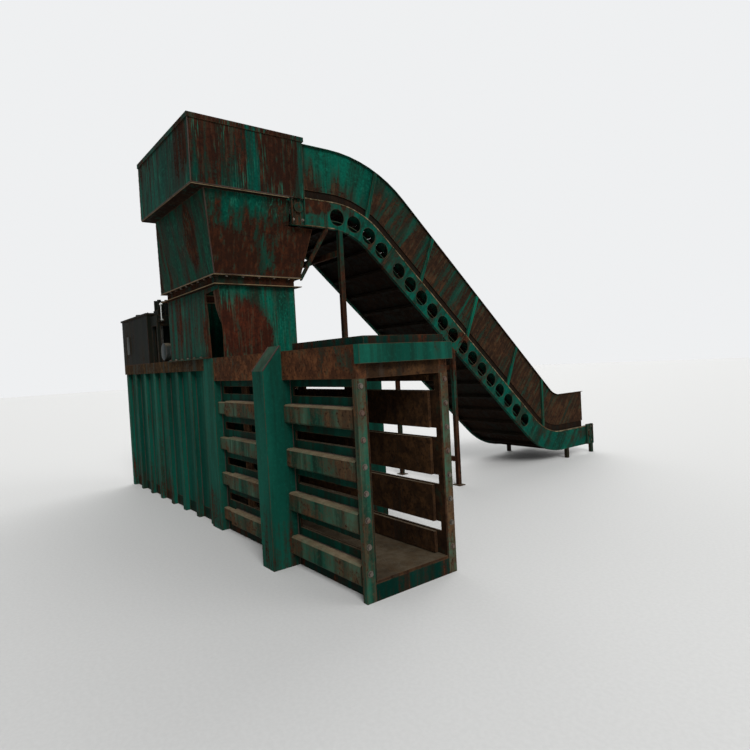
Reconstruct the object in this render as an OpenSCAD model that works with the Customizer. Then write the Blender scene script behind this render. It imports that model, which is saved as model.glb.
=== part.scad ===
/* [Press body] */
// Width of the press over its side beams
body_w = 840; // [760:10:960]
// Height of the press over its top beams
body_h = 1740; // [1700:10:1800]
// Distance from the chute centre to the rear end
rear_len = 2870; // [2840:10:3000]
// Distance from the chute centre to the bale outlet
exit_len = 2940; // [2900:10:3100]
// Height of the base frame
base_h = 120; // [100:5:160]
// Width of a base frame member
base_w = 100; // [80:5:120]
// Thickness of the channel floor
floor_t = 20; // [12:1:25]
// Thickness of the channel side walls
wall_t = 15; // [10:1:20]
// Depth of the side ribs
rib_d = 70; // [55:5:80]
// Height of a side rib
rib_h = 150; // [130:5:170]
// Height of a wire slot in the side walls
slot_h = 70; // [50:5:80]
// Distance between wire slots
slot_pitch = 355; // [345:5:365]
// Number of wire slots on each side
slot_count = 4; // [2:1:4]
// Height of the front top beam
beam_h = 230; // [215:5:240]
// Height of the shallower rear top beam
rear_beam_h = 120; // [100:5:140]
// Thickness of the channel ceiling
ceiling_t = 15; // [10:1:20]
// Height of the outlet cross beam
outlet_beam_h = 130; // [110:5:150]

/* [Clamp posts] */
// Width of a clamp post along the press
post_w = 190; // [160:5:220]
// Depth of a clamp post beyond the side wall
post_d = 240; // [220:5:260]
// Distance from the chute centre to the post centre
post_x = 1835; // [1780:5:1880]
// Drop of the sloped cap's outer edge below the top of the press
post_cap_drop = 150; // [100:10:220]
// Wall of the hollow posts
post_t = 12; // [8:1:16]

/* [Clamp plates] */
// Distance from the chute centre to the clamp hinge
clamp_x = 960; // [900:10:1050]
// Thickness of a clamp plate
clamp_t = 25; // [15:1:30]
// Radius of the clamp hinge pin
clamp_pin_r = 15; // [12:1:18]
// Radius of the clamp push rod
clamp_rod_r = 25; // [18:1:30]

/* [Ram and cylinder] */
// Length of the ram block
ram_len = 340; // [300:10:380]
// Gap between the ram and the channel
ram_gap = 5; // [3:1:8]
// Radius of the piston rod
rod_r = 65; // [50:1:75]
// Bore radius of the main cylinder
bore_r = 100; // [90:1:110]
// Wall of the main cylinder
barrel_t = 25; // [18:1:32]
// Stroke of the ram
ram_stroke = 1550; // [1500:10:1600]

/* [Hopper] */
// Length of the charge chute along the press
chute_len = 1500; // [1400:10:1560]
// Thickness of the hopper sheet
sheet_t = 8; // [5:0.5:10]
// Height of the top of the charge chute
chute_top = 2440; // [2380:10:2500]
// Width of the rusted gap at the near corner of the chute
gap_w = 300; // [200:10:360]
// Height of the channel ring round the hopper
band_h = 96; // [80:2:110]
// Depth of the ring lips
band_d = 60; // [40:2:70]
// Height of the top of the flare
flare_top = 3290; // [3270:5:3310]
// Flare top edge towards the rear
flare_rear = 446; // [400:10:500]
// Flare top edge towards the outlet
flare_exit = 968; // [950:2:980]
// Flare top edge towards the near side
flare_near = 593; // [570:1:640]
// Flare lower edge of the far panel top
flare_far = 640; // [600:5:680]
// Upper box edge towards the rear
box_rear = 500; // [480:5:560]
// Upper box edge towards the outlet
box_exit = 1030; // [1015:5:1080]
// Upper box edge towards the near side
box_near = 730; // [700:5:760]
// Upper box edge towards the conveyor
box_far = 440; // [430:5:460]
// Height of the top of the upper box
box_top = 3918; // [3880:2:3960]
// Height of the flat bar round the rim
rim_h = 45; // [30:1:60]

/* [Conveyor] */
// Outer width of the conveyor
conv_w = 1150; // [1100:10:1160]
// Outer face of the near girder from the chute centre
conv_near = 982; // [978:1:986]
// Height of the girder top rail at the head
rail_z = 3330; // [3320:2:3340]
// Depth of the girders
girder_h = 285; // [275:5:300]
// Thickness of the girder web
girder_t = 12; // [8:1:16]
// Width of the girder flanges
flange_w = 45; // [35:1:60]
// Slope of the incline in degrees
slope = 42; // [40:0.5:44]
// Rail radius of the upper bend
bend_r = 985; // [940:5:1020]
// Rail radius of the lower bend
foot_r = 900; // [850:10:950]
// Height of the girder rail at the loading end
foot_z = 430; // [410:5:460]
// Length of the level loading end
foot_len = 860; // [800:10:900]
// Radius of the round holes in the girder
hole_r = 90; // [70:1:95]
// Distance between girder holes
hole_pitch = 226; // [215:1:235]
// Height of the side skirts over the rail
skirt_h = 550; // [520:5:570]
// Gap between the rail and the skirt
skirt_gap = 92; // [80:2:110]
// Thickness of the skirt sheet
skirt_t = 6; // [4:0.5:8]
// Lean of the skirt ribs from upright in degrees
rib_lean = 24; // [20:1:28]
// Chain pitch radius on the sprockets
chain_r = 70; // [65:1:74]
// Number of slats on the chain
slat_count = 114; // [108:2:116]
// Radius of the head and tail shafts
shaft_r = 30; // [24:1:34]
// Width of a conveyor leg
leg_w = 50; // [40:5:60]

/* [Power unit] */
// Room between the chute and the oil tank
pump_bay = 880; // [860:10:960]
// Height of the oil tank
tank_h = 630; // [580:10:680]
// Wall of the oil tank
tank_t = 6; // [4:0.5:10]
// Diameter of the pump motor
motor_d = 220; // [200:5:235]
// Diameter of the oil pipes
pipe_d = 34; // [28:1:38]

/* [Hidden] */
$fn = 48;

// Running gap between faces that only meet
seat = 0.3;
half_w = body_w / 2;
wall_y = half_w - rib_d;
chan_y = wall_y - wall_t;
beam_z = body_h - beam_h;
floor_z = base_h + floor_t;
half_chute = chute_len / 2;
// Slot and rib heights run down from the top beam
function slot_z(k) = beam_z - 95 - k * slot_pitch;
function rib_z(k) = slot_z(k) - slot_pitch / 2;
// Corner posts stand under the outlet end of the chute
corner_w = 240;
corner_x0 = half_chute - 2 * corner_w;
corner_x1 = half_chute - corner_w;
post_x0 = post_x - post_w / 2;
post_x1 = post_x + post_w / 2;
post_y = wall_y + post_d;
outlet_flange = 45;
post_cap_z = body_h - post_cap_drop;
tie_z = rib_z(0) - slot_pitch;
// Ram and cylinder along the press
axis_z = 860;
ram_face = -half_chute - 30;
ram_back = ram_face - ram_len;
gland_x = ram_back - 110;
gland_len = 120;
cap_len = 90;
piston_len = 130;
barrel_len = ram_stroke + cap_len + piston_len + 20;
barrel_x = gland_x - gland_len - barrel_len;
barrel_r = bore_r + barrel_t;
bulkhead_in = 300;
gusset_h = 420;
ram_top = beam_z - ceiling_t - 30;
// Hopper levels and outlines as [rear x, exit x, near y, far y]
flange_t = 12;
band_z = chute_top;
flare_z = band_z + band_h;
ledge_t = 12;
box_z = flare_top + ledge_t;
chute_rect = [-half_chute, half_chute, -half_w, half_w];
lip_in = 10;
flare_lo = [-half_chute - band_d + lip_in, half_chute + band_d - lip_in,
  -half_w - band_d + lip_in, half_w + band_d - lip_in];
flare_hi = [-flare_rear, flare_exit, -flare_near, flare_far];
box_rect = [-box_rear, box_exit, -box_near, box_far];
// Conveyor planes
conv_far = conv_near - conv_w;
conv_mid = (conv_near + conv_far) / 2;
head_y = box_far - 70;
head_start = head_y - 70;
level_end = box_far + 344;
shaft_off = -girder_h * 0.41;
bend_end_y = level_end + bend_r * sin(slope);
bend_end_z = rail_z - bend_r * (1 - cos(slope));
incline_dz = bend_end_z - foot_z - foot_r * (1 - cos(slope));
incline_len = incline_dz / sin(slope);
foot_y = bend_end_y + incline_len * cos(slope) + foot_r * sin(slope);
tail_end = foot_y + foot_len;
tail_y = tail_end - 140;
seam = 257;
bend_step = slope / 8;
dip = 3.2;
dip_lead = 90;
hole_off = -girder_h * 0.54;
pan_off = -girder_h + 58;
skirt_x = conv_near - girder_t - 20;
skirt_x2 = conv_far + girder_t + 20;
slat_half = conv_w / 2 - flange_w - 12;
slat_t = 6;
flight_h = 28;
lug_t = 16;
lug_h = 13;
lug_in = 30;
top_off = shaft_off + chain_r;
low_off = shaft_off - chain_r;
bearing_t = 34;
// Spacing of the girder's joints, and places of the legs and skirt ribs along the run
joint_pitch = 1500;
leg_start = 110;
rib_start = 500;
skirt_rib_pitch = 1015;
foot_leg = 150;
case_x1 = conv_far - bearing_t - 2;
case_x0 = case_x1 - 46;
drive_y = head_y + 520;
drive_z = rail_z + shaft_off;
// Power unit on the rear deck
deck_t = 12;
deck_z = body_h + deck_t;
tank_x0 = -rear_len;
tank_x1 = -half_chute - pump_bay;
tank_y0 = -half_w;
tank_y1 = half_w - 120;
motor_len = 370;
pump_len = 290;
motor_z = deck_z + 14 + motor_d / 2;
valve_x0 = tank_x1 + 30;
valve_w = 260;
valve_leg = 40;
valve_d = 300;
valve_x1 = valve_x0 + valve_w;
motor_x = valve_x1 + 260;
valve_y = -half_w + 40;
valve_z = deck_z + 470;
manifold_h = 130;
// Oil lines that drop through the deck beside the follower
line_y = -chan_y + 35;
front_line_x = valve_x1 - 100;
rear_line_x = valve_x0 + 80;
front_port_x = gland_x - gland_len - 90;
rear_port_x = barrel_x + cap_len / 2;
port_z = axis_z + barrel_r + 45;
lever_x = valve_x1 + 30;
lever_z = valve_z + manifold_h / 2;

green = [0.05, 0.30, 0.24];
dark_green = [0.03, 0.18, 0.15];
rust = [0.30, 0.15, 0.10];
dust = [0.45, 0.41, 0.34];
steel = [0.55, 0.55, 0.54];
black = [0.07, 0.07, 0.07];
grey = [0.45, 0.46, 0.46];

// Helpers

// Box from low and high corners
module slab(lo, hi) {
  translate(lo) cube([hi[0] - lo[0], hi[1] - lo[1], hi[2] - lo[2]]);
}

// Puts a far-side copy of a near-side piece in place
module far_side() { mirror([0, 1, 0]) children(); }

// Turns a side profile drawn as (y, z) into a solid between two x planes
module along_x(x0, x1) { translate([x0, 0, 0]) rotate([90, 0, 90]) linear_extrude(x1 - x0) children(); }

// Turns a section drawn as (x, z) into a solid between two y planes
module along_y(y0, y1) { translate([0, y1, 0]) rotate([90, 0, 0]) linear_extrude(y1 - y0) children(); }

module rod_x(x0, x1, y, z, r) { translate([x0, y, z]) rotate([0, 90, 0]) cylinder(h = x1 - x0, r = r); }

module rod_y(y0, y1, x, z, r) { translate([x, y0, z]) rotate([-90, 0, 0]) cylinder(h = y1 - y0, r = r); }

module rod_z(z0, z1, x, y, r) { translate([x, y, z0]) cylinder(h = z1 - z0, r = r); }

// Solid between two four-cornered outlines, both counter-clockwise from above
module loft4(lo, z0, hi, z1) {
  pts = concat([for (p = lo) [p[0], p[1], z0]], [for (p = hi) [p[0], p[1], z1]]);
  sides = [for (i = [0:3]) [i, i + 4, (i + 1) % 4 + 4, (i + 1) % 4]];
  polyhedron(pts, concat([[0, 1, 2, 3], [7, 6, 5, 4]], sides));
}

// Corners of an outline, moved inwards by t
function corners(r, t = 0) =
  [[r[0] + t, r[2] + t], [r[1] - t, r[2] + t], [r[1] - t, r[3] - t], [r[0] + t, r[3] - t]];

// One sloping wall of a hopper stage: side i runs from corner i to the next one
module stage_panel(i, r0, z0, r1, z1, t) {
  a = corners(r0);
  b = corners(r0, t);
  c = corners(r1);
  d = corners(r1, t);
  j = (i + 1) % 4;
  loft4([a[i], a[j], b[j], b[i]], z0, [c[i], c[j], d[j], d[i]], z1);
}

// Flat ring between an outer and an inner outline
module ring(outer, inner, z0, z1) {
  translate([0, 0, z0]) linear_extrude(z1 - z0) difference() {
    polygon(corners(outer));
    polygon(corners(inner));
  }
}

function grow(r, t) = [r[0] - t, r[1] + t, r[2] - t, r[3] + t];

// Conveyor path, with off measured square to the rail and positive above it
function head_run(off) = concat(
  [for (a = [0:bend_step:slope + 0.01])
    [level_end + (bend_r + off) * sin(a), rail_z - bend_r + (bend_r + off) * cos(a)]]);
function foot_run(off) = [for (a = [slope:-bend_step:-0.01])
  [foot_y - (foot_r - off) * sin(a), foot_z + foot_r - (foot_r - off) * cos(a)]];
function whole_run(off, y0, y1) =
  concat([[y0, rail_z + off]], head_run(off), foot_run(off), [[y1, foot_z + off]]);
function back(v) = [for (i = [len(v) - 1:-1:0]) v[i]];
function strip(lo, hi, y0, y1) = concat(whole_run(lo, y0, y1), back(whole_run(hi, y0, y1)));
// The slat tracks dip in the lower bend, where straight slats bridge a hollow
function dip_start(off) = [foot_y - (foot_r - off) * sin(slope) - dip_lead * cos(slope),
  foot_z + foot_r - (foot_r - off) * cos(slope) + dip_lead * sin(slope)];
function track_run(off, y0, y1) = concat([[y0, rail_z + off]], head_run(off),
  [dip_start(off), dip_start(off - dip)], foot_run(off - dip),
  [[foot_y + dip_lead, foot_z + off - dip], [foot_y + dip_lead, foot_z + off], [y1, foot_z + off]]);
function track_strip(lo, hi, y0, y1) = concat(track_run(lo, y0, y1), back(track_run(hi, y0, y1)));

// Point at distance s along the run from the start of the upper bend
function bend_len(off) = (bend_r + off) * slope * PI / 180;
function foot_len_of(off) = (foot_r - off) * slope * PI / 180;
function run_point(s, off) =
  s < 0 ? [level_end + s, rail_z + off, 0] :
  s < bend_len(off) ? let (a = s / bend_len(off) * slope)
    [level_end + (bend_r + off) * sin(a), rail_z - bend_r + (bend_r + off) * cos(a), -a] :
  s < bend_len(off) + incline_len ? let (d = s - bend_len(off))
    [bend_end_y + off * sin(slope) + d * cos(slope),
      bend_end_z + off * cos(slope) - d * sin(slope), -slope] :
  s < bend_len(off) + incline_len + foot_len_of(off) ?
    let (a = slope * (1 - (s - bend_len(off) - incline_len) / foot_len_of(off)))
    [foot_y - (foot_r - off) * sin(a), foot_z + foot_r - (foot_r - off) * cos(a), -a] :
  [foot_y + s - bend_len(off) - incline_len - foot_len_of(off), foot_z + off, 0];

// Press body

module base_frame() color(dark_green) {
  members = 10;
  step = (rear_len + exit_len - base_w) / members;
  for (side = [-1, 1])
    slab([-rear_len, side * (wall_y - base_w / 2) - base_w / 2, 0],
      [exit_len, side * (wall_y - base_w / 2) + base_w / 2, base_h]);
  for (i = [0:members])
    slab([-rear_len + i * step, -wall_y + base_w / 2, 0],
      [-rear_len + i * step + base_w, wall_y - base_w / 2, base_h]);
  slab([-base_w / 2, -wall_y + base_w / 2, 0], [base_w / 2, wall_y - base_w / 2, base_h]);
}

module channel_floor() color(steel)
  slab([-rear_len, -chan_y, base_h], [exit_len, chan_y, floor_z]);

// Side wall of the tying section, with its wire slots and the push rod hole
module side_wall() {
  difference() {
    slab([corner_x1, -wall_y, base_h], [exit_len, -chan_y, beam_z]);
    for (k = [0:slot_count - 1]) {
      slab([corner_x1 + 60, -wall_y - 1, slot_z(k) - slot_h / 2],
        [post_x0 - 40, -chan_y + 1, slot_z(k) + slot_h / 2]);
      slab([post_x1 + 40, -wall_y - 1, slot_z(k) - slot_h / 2],
        [exit_len - outlet_flange - 10, -chan_y + 1, slot_z(k) + slot_h / 2]);
    }
    rod_y(-wall_y - 1, -chan_y + 1, post_x, tie_z, clamp_rod_r + 2);
  }
}

module near_wall() color(green) side_wall();

module far_wall() color(green) far_side() side_wall();

// Folded box rib with chamfered long edges, drawn as (y, z)
module rib_section(depth, height) {
  c = depth * 0.18;
  polygon([[0, -height / 2], [-depth + c, -height / 2], [-depth, -height / 2 + c],
    [-depth, height / 2 - c], [-depth + c, height / 2], [0, height / 2]]);
}

// Ribs between the slots, stepped back towards the corner post, and the outlet flange
module side_ribs() {
  step_x = corner_x1 + 230;
  for (k = [0:slot_count - 1]) {
    translate([0, -wall_y, rib_z(k)]) {
      along_x(corner_x1, step_x) rib_section(rib_d * 0.62, rib_h * 0.8);
      along_x(step_x, post_x0) rib_section(rib_d, rib_h);
      along_x(post_x1, exit_len - outlet_flange - 25) rib_section(rib_d, rib_h);
    }
  }
  slab([exit_len - outlet_flange, -half_w - 5, 0], [exit_len, -wall_y, beam_z]);
}

module near_ribs() color(rust) side_ribs();

module far_ribs() color(rust) far_side() side_ribs();

// Plain side plate of the chamber and the cylinder bay, with upright stiffeners
module rear_side_plate() {
  top = body_h - rear_beam_h;
  count = 7;
  pitch = (rear_len + corner_x0 - 120) / count;
  slab([-rear_len, -wall_y, base_h], [corner_x1, -chan_y, top]);
  for (i = [0:count])
    slab([-rear_len + 20 + i * pitch, -half_w + 15, 0], [-rear_len + 100 + i * pitch, -wall_y, top]);
}

module near_rear_plate() color(green) rear_side_plate();

module far_rear_plate() color(green) far_side() rear_side_plate();

// Deep beam along the tying section on one side
module top_beam() {
  slab([corner_x1, -half_w, beam_z], [exit_len, -chan_y, body_h]);
}

module near_top_beam() color(rust) top_beam();

module far_top_beam() color(rust) far_side() top_beam();

// Post under the outlet end of the chute
module corner_post() {
  slab([corner_x0, -half_w - 8, 0], [corner_x1, -wall_y, body_h]);
}

module corner_posts() color(green) {
  corner_post();
  far_side() corner_post();
}

module ceiling() color(dark_green) {
  slab([half_chute, -chan_y, beam_z], [exit_len, chan_y, beam_z + ceiling_t]);
  count = 6;
  pitch = (exit_len - half_chute - 30) / count;
  for (i = [0:count])
    slab([half_chute + i * pitch, -chan_y, beam_z + ceiling_t],
      [half_chute + i * pitch + 30, chan_y, body_h - 20]);
}

module outlet_cross_beam() color(green) {
  difference() {
    slab([exit_len, -half_w - 10, body_h - outlet_beam_h], [exit_len + 60, half_w + 10, body_h]);
    slab([exit_len - 1, -half_w + 80, body_h - outlet_beam_h + 12],
      [exit_len + 48, half_w - 80, body_h - 12]);
  }
}

// Folded cover over the clamp bay, open underneath
module deck_cover() color(dark_green) {
  x0 = post_x1 + 30;
  x1 = exit_len - 20;
  y0 = -half_w + 90;
  h = 58;
  t = 5;
  difference() {
    slab([x0, y0, body_h], [x1, half_w, body_h + h]);
    slab([x0 + t, y0 + t, body_h - 1], [x1 - t, half_w - t, body_h + h - t]);
  }
}

// Hollow box post with the sloped cap over the beam
module clamp_post() {
  top = body_h + 45;
  section = [[-post_y, 0], [-wall_y, 0], [-wall_y, beam_z], [-half_w, beam_z], [-half_w, top],
    [-half_w - 12, top], [-post_y, post_cap_z]];
  difference() {
    along_x(post_x0, post_x1) polygon(section);
    slab([post_x0 + post_t, -post_y + post_t, 40], [post_x1 - post_t, -wall_y - post_t, post_cap_z - 60]);
    rod_y(-wall_y - post_t - 1, -wall_y + 1, post_x, tie_z, clamp_rod_r + 2);
  }
}

module near_clamp_post() color(green) clamp_post();

module far_clamp_post() color(green) far_side() clamp_post();

// Thrust bulkhead that carries the rear of the cylinder, with its gussets
module rear_bulkhead() color(dark_green) {
  t = 60;
  x0 = barrel_x + bulkhead_in;
  difference() {
    slab([x0, -chan_y, floor_z], [x0 + t, chan_y, body_h - rear_beam_h]);
    rod_x(x0 - 1, x0 + t + 1, 0, axis_z, barrel_r + seat);
    rod_x(x0 - 1, x0 + t + 1, line_y, port_z + 300, pipe_d / 2 + 4);
    slab([x0 - 1, -chan_y + 60, ram_top - 60], [x0 + t + 1, chan_y - 60, body_h - rear_beam_h - 40]);
  }
  for (y = [-chan_y, chan_y - 20])
    along_y(y, y + 20)
      polygon([[x0 + t, floor_z], [x0 + t + 0.75 * gusset_h, floor_z], [x0 + t, floor_z + gusset_h]]);
}

// Deck plate behind the chute and the shallower side beams that carry it
module rear_deck() color(dust) {
  difference() {
    slab([-rear_len, -half_w, body_h], [-half_chute - 20, half_w, deck_z]);
    for (x = [front_line_x, rear_line_x]) rod_z(body_h - 1, deck_z + 1, x, line_y, pipe_d / 2 + 4);
  }
  for (side = [0, 1]) mirror([0, side, 0]) {
    slab([-rear_len, -half_w, body_h - rear_beam_h], [corner_x0, -chan_y, body_h]);
    slab([corner_x0, -wall_y, body_h - rear_beam_h], [corner_x1, -chan_y, body_h]);
  }
}

// Shear blade across the outlet side of the chute
module fixed_blade() color(steel) {
  slab([half_chute - 60, -chan_y + 1, beam_z - 25 + ceiling_t],
    [half_chute - seat, chan_y - 1, beam_z + 60]);
  slab([half_chute - 30, -chan_y, beam_z + 60], [half_chute - seat, chan_y, body_h]);
}

// Main cylinder and ram

module cylinder_barrel() color(dark_green) {
  difference() {
    union() {
      rod_x(barrel_x, gland_x - gland_len, 0, axis_z, barrel_r);
      rod_x(barrel_x, barrel_x + cap_len, 0, axis_z, barrel_r + 18);
      rod_z(axis_z, port_z, rear_port_x, 0, 28);
      rod_z(axis_z, port_z, front_port_x, 0, 28);
    }
    rod_x(barrel_x + cap_len, gland_x - gland_len + 1, 0, axis_z, bore_r);
  }
}

module cylinder_gland() color(green) {
  difference() {
    union() {
      rod_x(gland_x - gland_len, gland_x, 0, axis_z, barrel_r + 12);
      slab([gland_x - gland_len + 20, -chan_y, axis_z - 40], [gland_x - 20, chan_y, axis_z + 40]);
      for (y = [-chan_y, chan_y - 30])
        slab([gland_x - gland_len + 20, y, floor_z], [gland_x - 20, y + 30, axis_z]);
    }
    rod_x(gland_x - gland_len - 1, gland_x + 1, 0, axis_z, rod_r + 0.1);
  }
}

// Rod with its piston and the flange that is bolted to the ram
module piston_rod() color(steel) {
  x0 = barrel_x + cap_len + 10;
  rod_x(x0, ram_back, 0, axis_z, rod_r);
  rod_x(x0, x0 + piston_len, 0, axis_z, bore_r - 0.1);
  difference() {
    rod_x(ram_back - 50, ram_back, 0, axis_z, rod_r + 75);
    for (a = [0:60:300])
      rod_x(ram_back - 51, ram_back - 30, (rod_r + 45) * sin(a), axis_z + (rod_r + 45) * cos(a), 16);
  }
}

// Ribbed press head, with a groove for each wire across its face
module ram() color(green) {
  y1 = chan_y - ram_gap;
  z0 = floor_z + ram_gap;
  difference() {
    slab([ram_back, -y1, z0], [ram_face, y1, ram_top]);
    for (k = [0:slot_count - 1])
      slab([ram_face - 70, -y1 - 1, slot_z(k) - 18], [ram_face + 1, y1 + 1, slot_z(k) + 18]);
    for (side = [-1, 1])
      slab([ram_back - 1, side * y1 / 2 - 90, z0 + 90], [ram_back + 160, side * y1 / 2 + 90, ram_top - 110]);
  }
}

// Cutting blade along the top front edge of the ram
module ram_blade() color(steel) {
  y1 = chan_y - ram_gap - 5;
  slab([ram_face - 110, -y1, ram_top], [ram_face, y1, ram_top + 22]);
}

// Follower sheet that closes the chute behind the ram
module ram_follower() color(dark_green) {
  y1 = chan_y - ram_gap - 85;
  len_back = ram_stroke - 70;
  slab([ram_face - 120 - len_back, -y1, ram_top], [ram_face - 111, y1, ram_top + 10]);
  for (y = [-y1 + 60, -30, y1 - 120])
    slab([ram_face - 100 - len_back, y, ram_top - 34], [ram_back - 2, y + 60, ram_top]);
}

// Clamp plate with fingers between the wire slots and its hinge barrel
clamp_y = chan_y - clamp_t / 2 - 14;
clamp_z0 = floor_z + 12;
clamp_z1 = beam_z - 12;

module clamp_plate() {
  barrel = clamp_pin_r + 11;
  difference() {
    union() {
      slab([clamp_x, -clamp_y - clamp_t / 2, clamp_z0], [exit_len - 90, -clamp_y + clamp_t / 2, clamp_z1]);
      rod_z(clamp_z0, clamp_z1, clamp_x, -clamp_y, barrel);
    }
    for (k = [0:slot_count - 1])
      slab([clamp_x + 90, -clamp_y - clamp_t, slot_z(k) - slot_h / 2 - 4],
        [exit_len, -clamp_y + clamp_t, slot_z(k) + slot_h / 2 + 4]);
    rod_z(clamp_z0 - 1, clamp_z1 + 1, clamp_x, -clamp_y, clamp_pin_r + 0.1);
  }
  for (k = [0:slot_count - 1])
    slab([post_x - 50, -clamp_y - clamp_t / 2, slot_z(k) - slot_h / 2 - 4],
      [post_x + 50, -clamp_y + clamp_t / 2, slot_z(k) + slot_h / 2 + 4]);
}

module near_clamp_plate() color(steel) clamp_plate();

module far_clamp_plate() color(steel) far_side() clamp_plate();

module clamp_pins() color(steel) {
  for (side = [-1, 1])
    rod_z(floor_z, beam_z, clamp_x, side * clamp_y, clamp_pin_r);
}

// Push rod with a ball end that bears on the clamp plate
module clamp_rod() {
  tip = -clamp_y - clamp_t / 2 - seat - clamp_rod_r;
  rod_y(-wall_y - 90, tip, post_x, tie_z, clamp_rod_r);
  translate([post_x, tip, tie_z]) sphere(r = clamp_rod_r);
}

module near_clamp_rod() color(steel) clamp_rod();

module far_clamp_rod() color(steel) far_side() clamp_rod();

module clamp_cylinders() color(black) {
  r = clamp_rod_r + 22;
  for (side = [0, 1]) mirror([0, side, 0]) difference() {
    rod_y(-post_y + post_t, -wall_y - post_t, post_x, tie_z, r);
    rod_y(-wall_y - 92, -wall_y, post_x, tie_z, clamp_rod_r + 0.1);
  }
}

// Hopper

// Near chute panel, torn open at the corner with a ragged edge
module chute_near_panel() color(green) {
  edge = half_chute - gap_w;
  h = chute_top - body_h;
  along_y(-half_w, -half_w + sheet_t)
    polygon([[-half_chute, body_h], [edge + 30, body_h], [edge + 22, body_h + h * 0.22],
      [edge + 6, body_h + h * 0.4], [edge + 12, body_h + h * 0.55], [edge - 14, body_h + h * 0.78],
      [edge - 20, body_h + h * 0.93], [half_chute, body_h + h * 0.95], [half_chute, chute_top],
      [-half_chute, chute_top]]);
  along_y(-half_w - 40, -half_w)
    polygon([[-half_chute, body_h], [edge, body_h], [edge, body_h + flange_t],
      [-half_chute, body_h + flange_t]]);
}

module chute_far_panel() color(green) {
  slab([-half_chute, half_w - sheet_t, body_h], [half_chute, half_w, chute_top]);
  slab([-half_chute, half_w, body_h], [half_chute, half_w + 40, body_h + flange_t]);
}

// Both end panels, the outlet one ragged along its near edge
module chute_end_panels() color(green) {
  h = chute_top - body_h;
  y0 = -half_w + sheet_t;
  y1 = half_w - sheet_t;
  along_x(-half_chute, -half_chute + sheet_t)
    polygon([[y0, body_h], [y1, body_h], [y1, chute_top], [y0, chute_top]]);
  along_x(half_chute - sheet_t, half_chute)
    polygon([[y0 + 14, body_h], [y1, body_h], [y1, chute_top], [y0, chute_top], [y0, body_h + h * 0.94],
      [y0 + 10, body_h + h * 0.8], [y0 + 2, body_h + h * 0.6], [y0 + 18, body_h + h * 0.35]]);
}

// Outward facing channel ring between chute and flare
module hopper_band() color(dust) {
  lip = 8;
  ring(grow(chute_rect, band_d), grow(chute_rect, -sheet_t), band_z, band_z + lip);
  ring(chute_rect, grow(chute_rect, -sheet_t), band_z + lip, band_z + band_h - lip);
  ring(grow(chute_rect, band_d), grow(chute_rect, -sheet_t), band_z + band_h - lip, band_z + band_h);
}

module flare_near_panel() color(green) stage_panel(0, flare_lo, flare_z, flare_hi, flare_top, sheet_t);

// Room for the conveyor head and its chain case in the far top corner of the flare
head_room_z = rail_z - girder_h - 10;
module head_room() {
  slab([case_x0 - 8, head_start - 40, head_room_z], [box_exit + 40, box_far + 700, box_top]);
}

module flare_exit_panel() color(green) difference() {
  stage_panel(1, flare_lo, flare_z, flare_hi, flare_top, sheet_t);
  head_room();
}

module flare_far_panel() color(green) difference() {
  stage_panel(2, flare_lo, flare_z, flare_hi, flare_top, sheet_t);
  head_room();
}

module flare_rear_panel() color(green) stage_panel(3, flare_lo, flare_z, flare_hi, flare_top, sheet_t);

// Ledge between the flare and the wider upper box
module hopper_ledge() color(dust) difference() {
  ledge_rect = [box_rect[0], box_rect[1], box_rect[2], flare_far + 30];
  open_rect = [-flare_rear + sheet_t, flare_exit - sheet_t, -flare_near + sheet_t, box_far - sheet_t];
  ring(ledge_rect, open_rect, flare_top, box_z);
  head_room();
}

// Upper box with its rim angle, butt strap and the opening for the conveyor
module hopper_box() color(green) {
  s = sheet_t;
  difference() {
    union() {
      ring(box_rect, grow(box_rect, -s), box_z, box_top);
      ring(grow(box_rect, 12), box_rect, box_top - rim_h, box_top);
      slab([box_exit, head_start - 28, box_z], [box_exit + 6, head_start - 16, box_top - rim_h]);
    }
    slab([skirt_x2 - skirt_t, box_far - s - 1, box_z - 1],
      [skirt_x + skirt_t, box_far + rim_h, box_top + 1]);
    slab([skirt_x2 - 36, box_far, box_z - 1], [skirt_x + 36, box_far + rim_h, box_top + 1]);
    slab([case_x0 - 8, box_far - s - 1, box_z - 1], [conv_near + bearing_t + 4, box_far + 1, rail_z + 30]);
  }
}

// Conveyor

// Web holes along the upper bend and down the incline
module girder_holes() {
  first = 4;
  lower = floor((incline_len - 620) / hole_pitch);
  bend_hole = [for (k = [0:first - 1]) run_point(74 + k * hole_pitch, hole_off)];
  s0 = bend_len(hole_off) + seam + 210;
  incline_hole = [for (k = [0:lower]) run_point(s0 + k * hole_pitch, hole_off)];
  for (p = concat(bend_hole, incline_hole))
    rod_x(-flange_w, flange_w, p[0], p[1], hole_r);
}

// Channel girder with its web at x = 0 and flanges towards +x
module girder() {
  t = girder_t;
  difference() {
    along_x(0, t) polygon(strip(-girder_h, 0, head_start, tail_end));
    girder_holes();
    rod_x(-1, t + 1, head_y, rail_z + shaft_off, shaft_r + 8);
    rod_x(-1, t + 1, tail_y, foot_z + shaft_off, shaft_r + 8);
  }
  track = top_off - lug_h - seat;
  track_w = conv_w / 2 - slat_half + lug_in + 2 * lug_t + 8;
  along_x(t, track_w) polygon(track_strip(track - 6, track, head_y + 62, tail_y - 62));
  low_track = low_off - slat_t - seat;
  along_x(t, conv_w / 2 - slat_half + 40)
    polygon(track_strip(low_track - 6, low_track, head_y + 20, tail_y - 20));
  along_x(t, flange_w) polygon(strip(-t, 0, head_start, tail_end));
  along_x(t, flange_w) polygon(strip(-girder_h, -girder_h + t, head_start, tail_end));
  for (s = [-72, for (k = [0:2]) bend_len(0) + seam + k * joint_pitch]) {
    p = run_point(s, 0);
    translate([0, p[0], p[1]]) rotate([p[2], 0, 0])
      slab([-8, -14, -girder_h + 2], [0, 14, -2]);
  }
}

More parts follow.
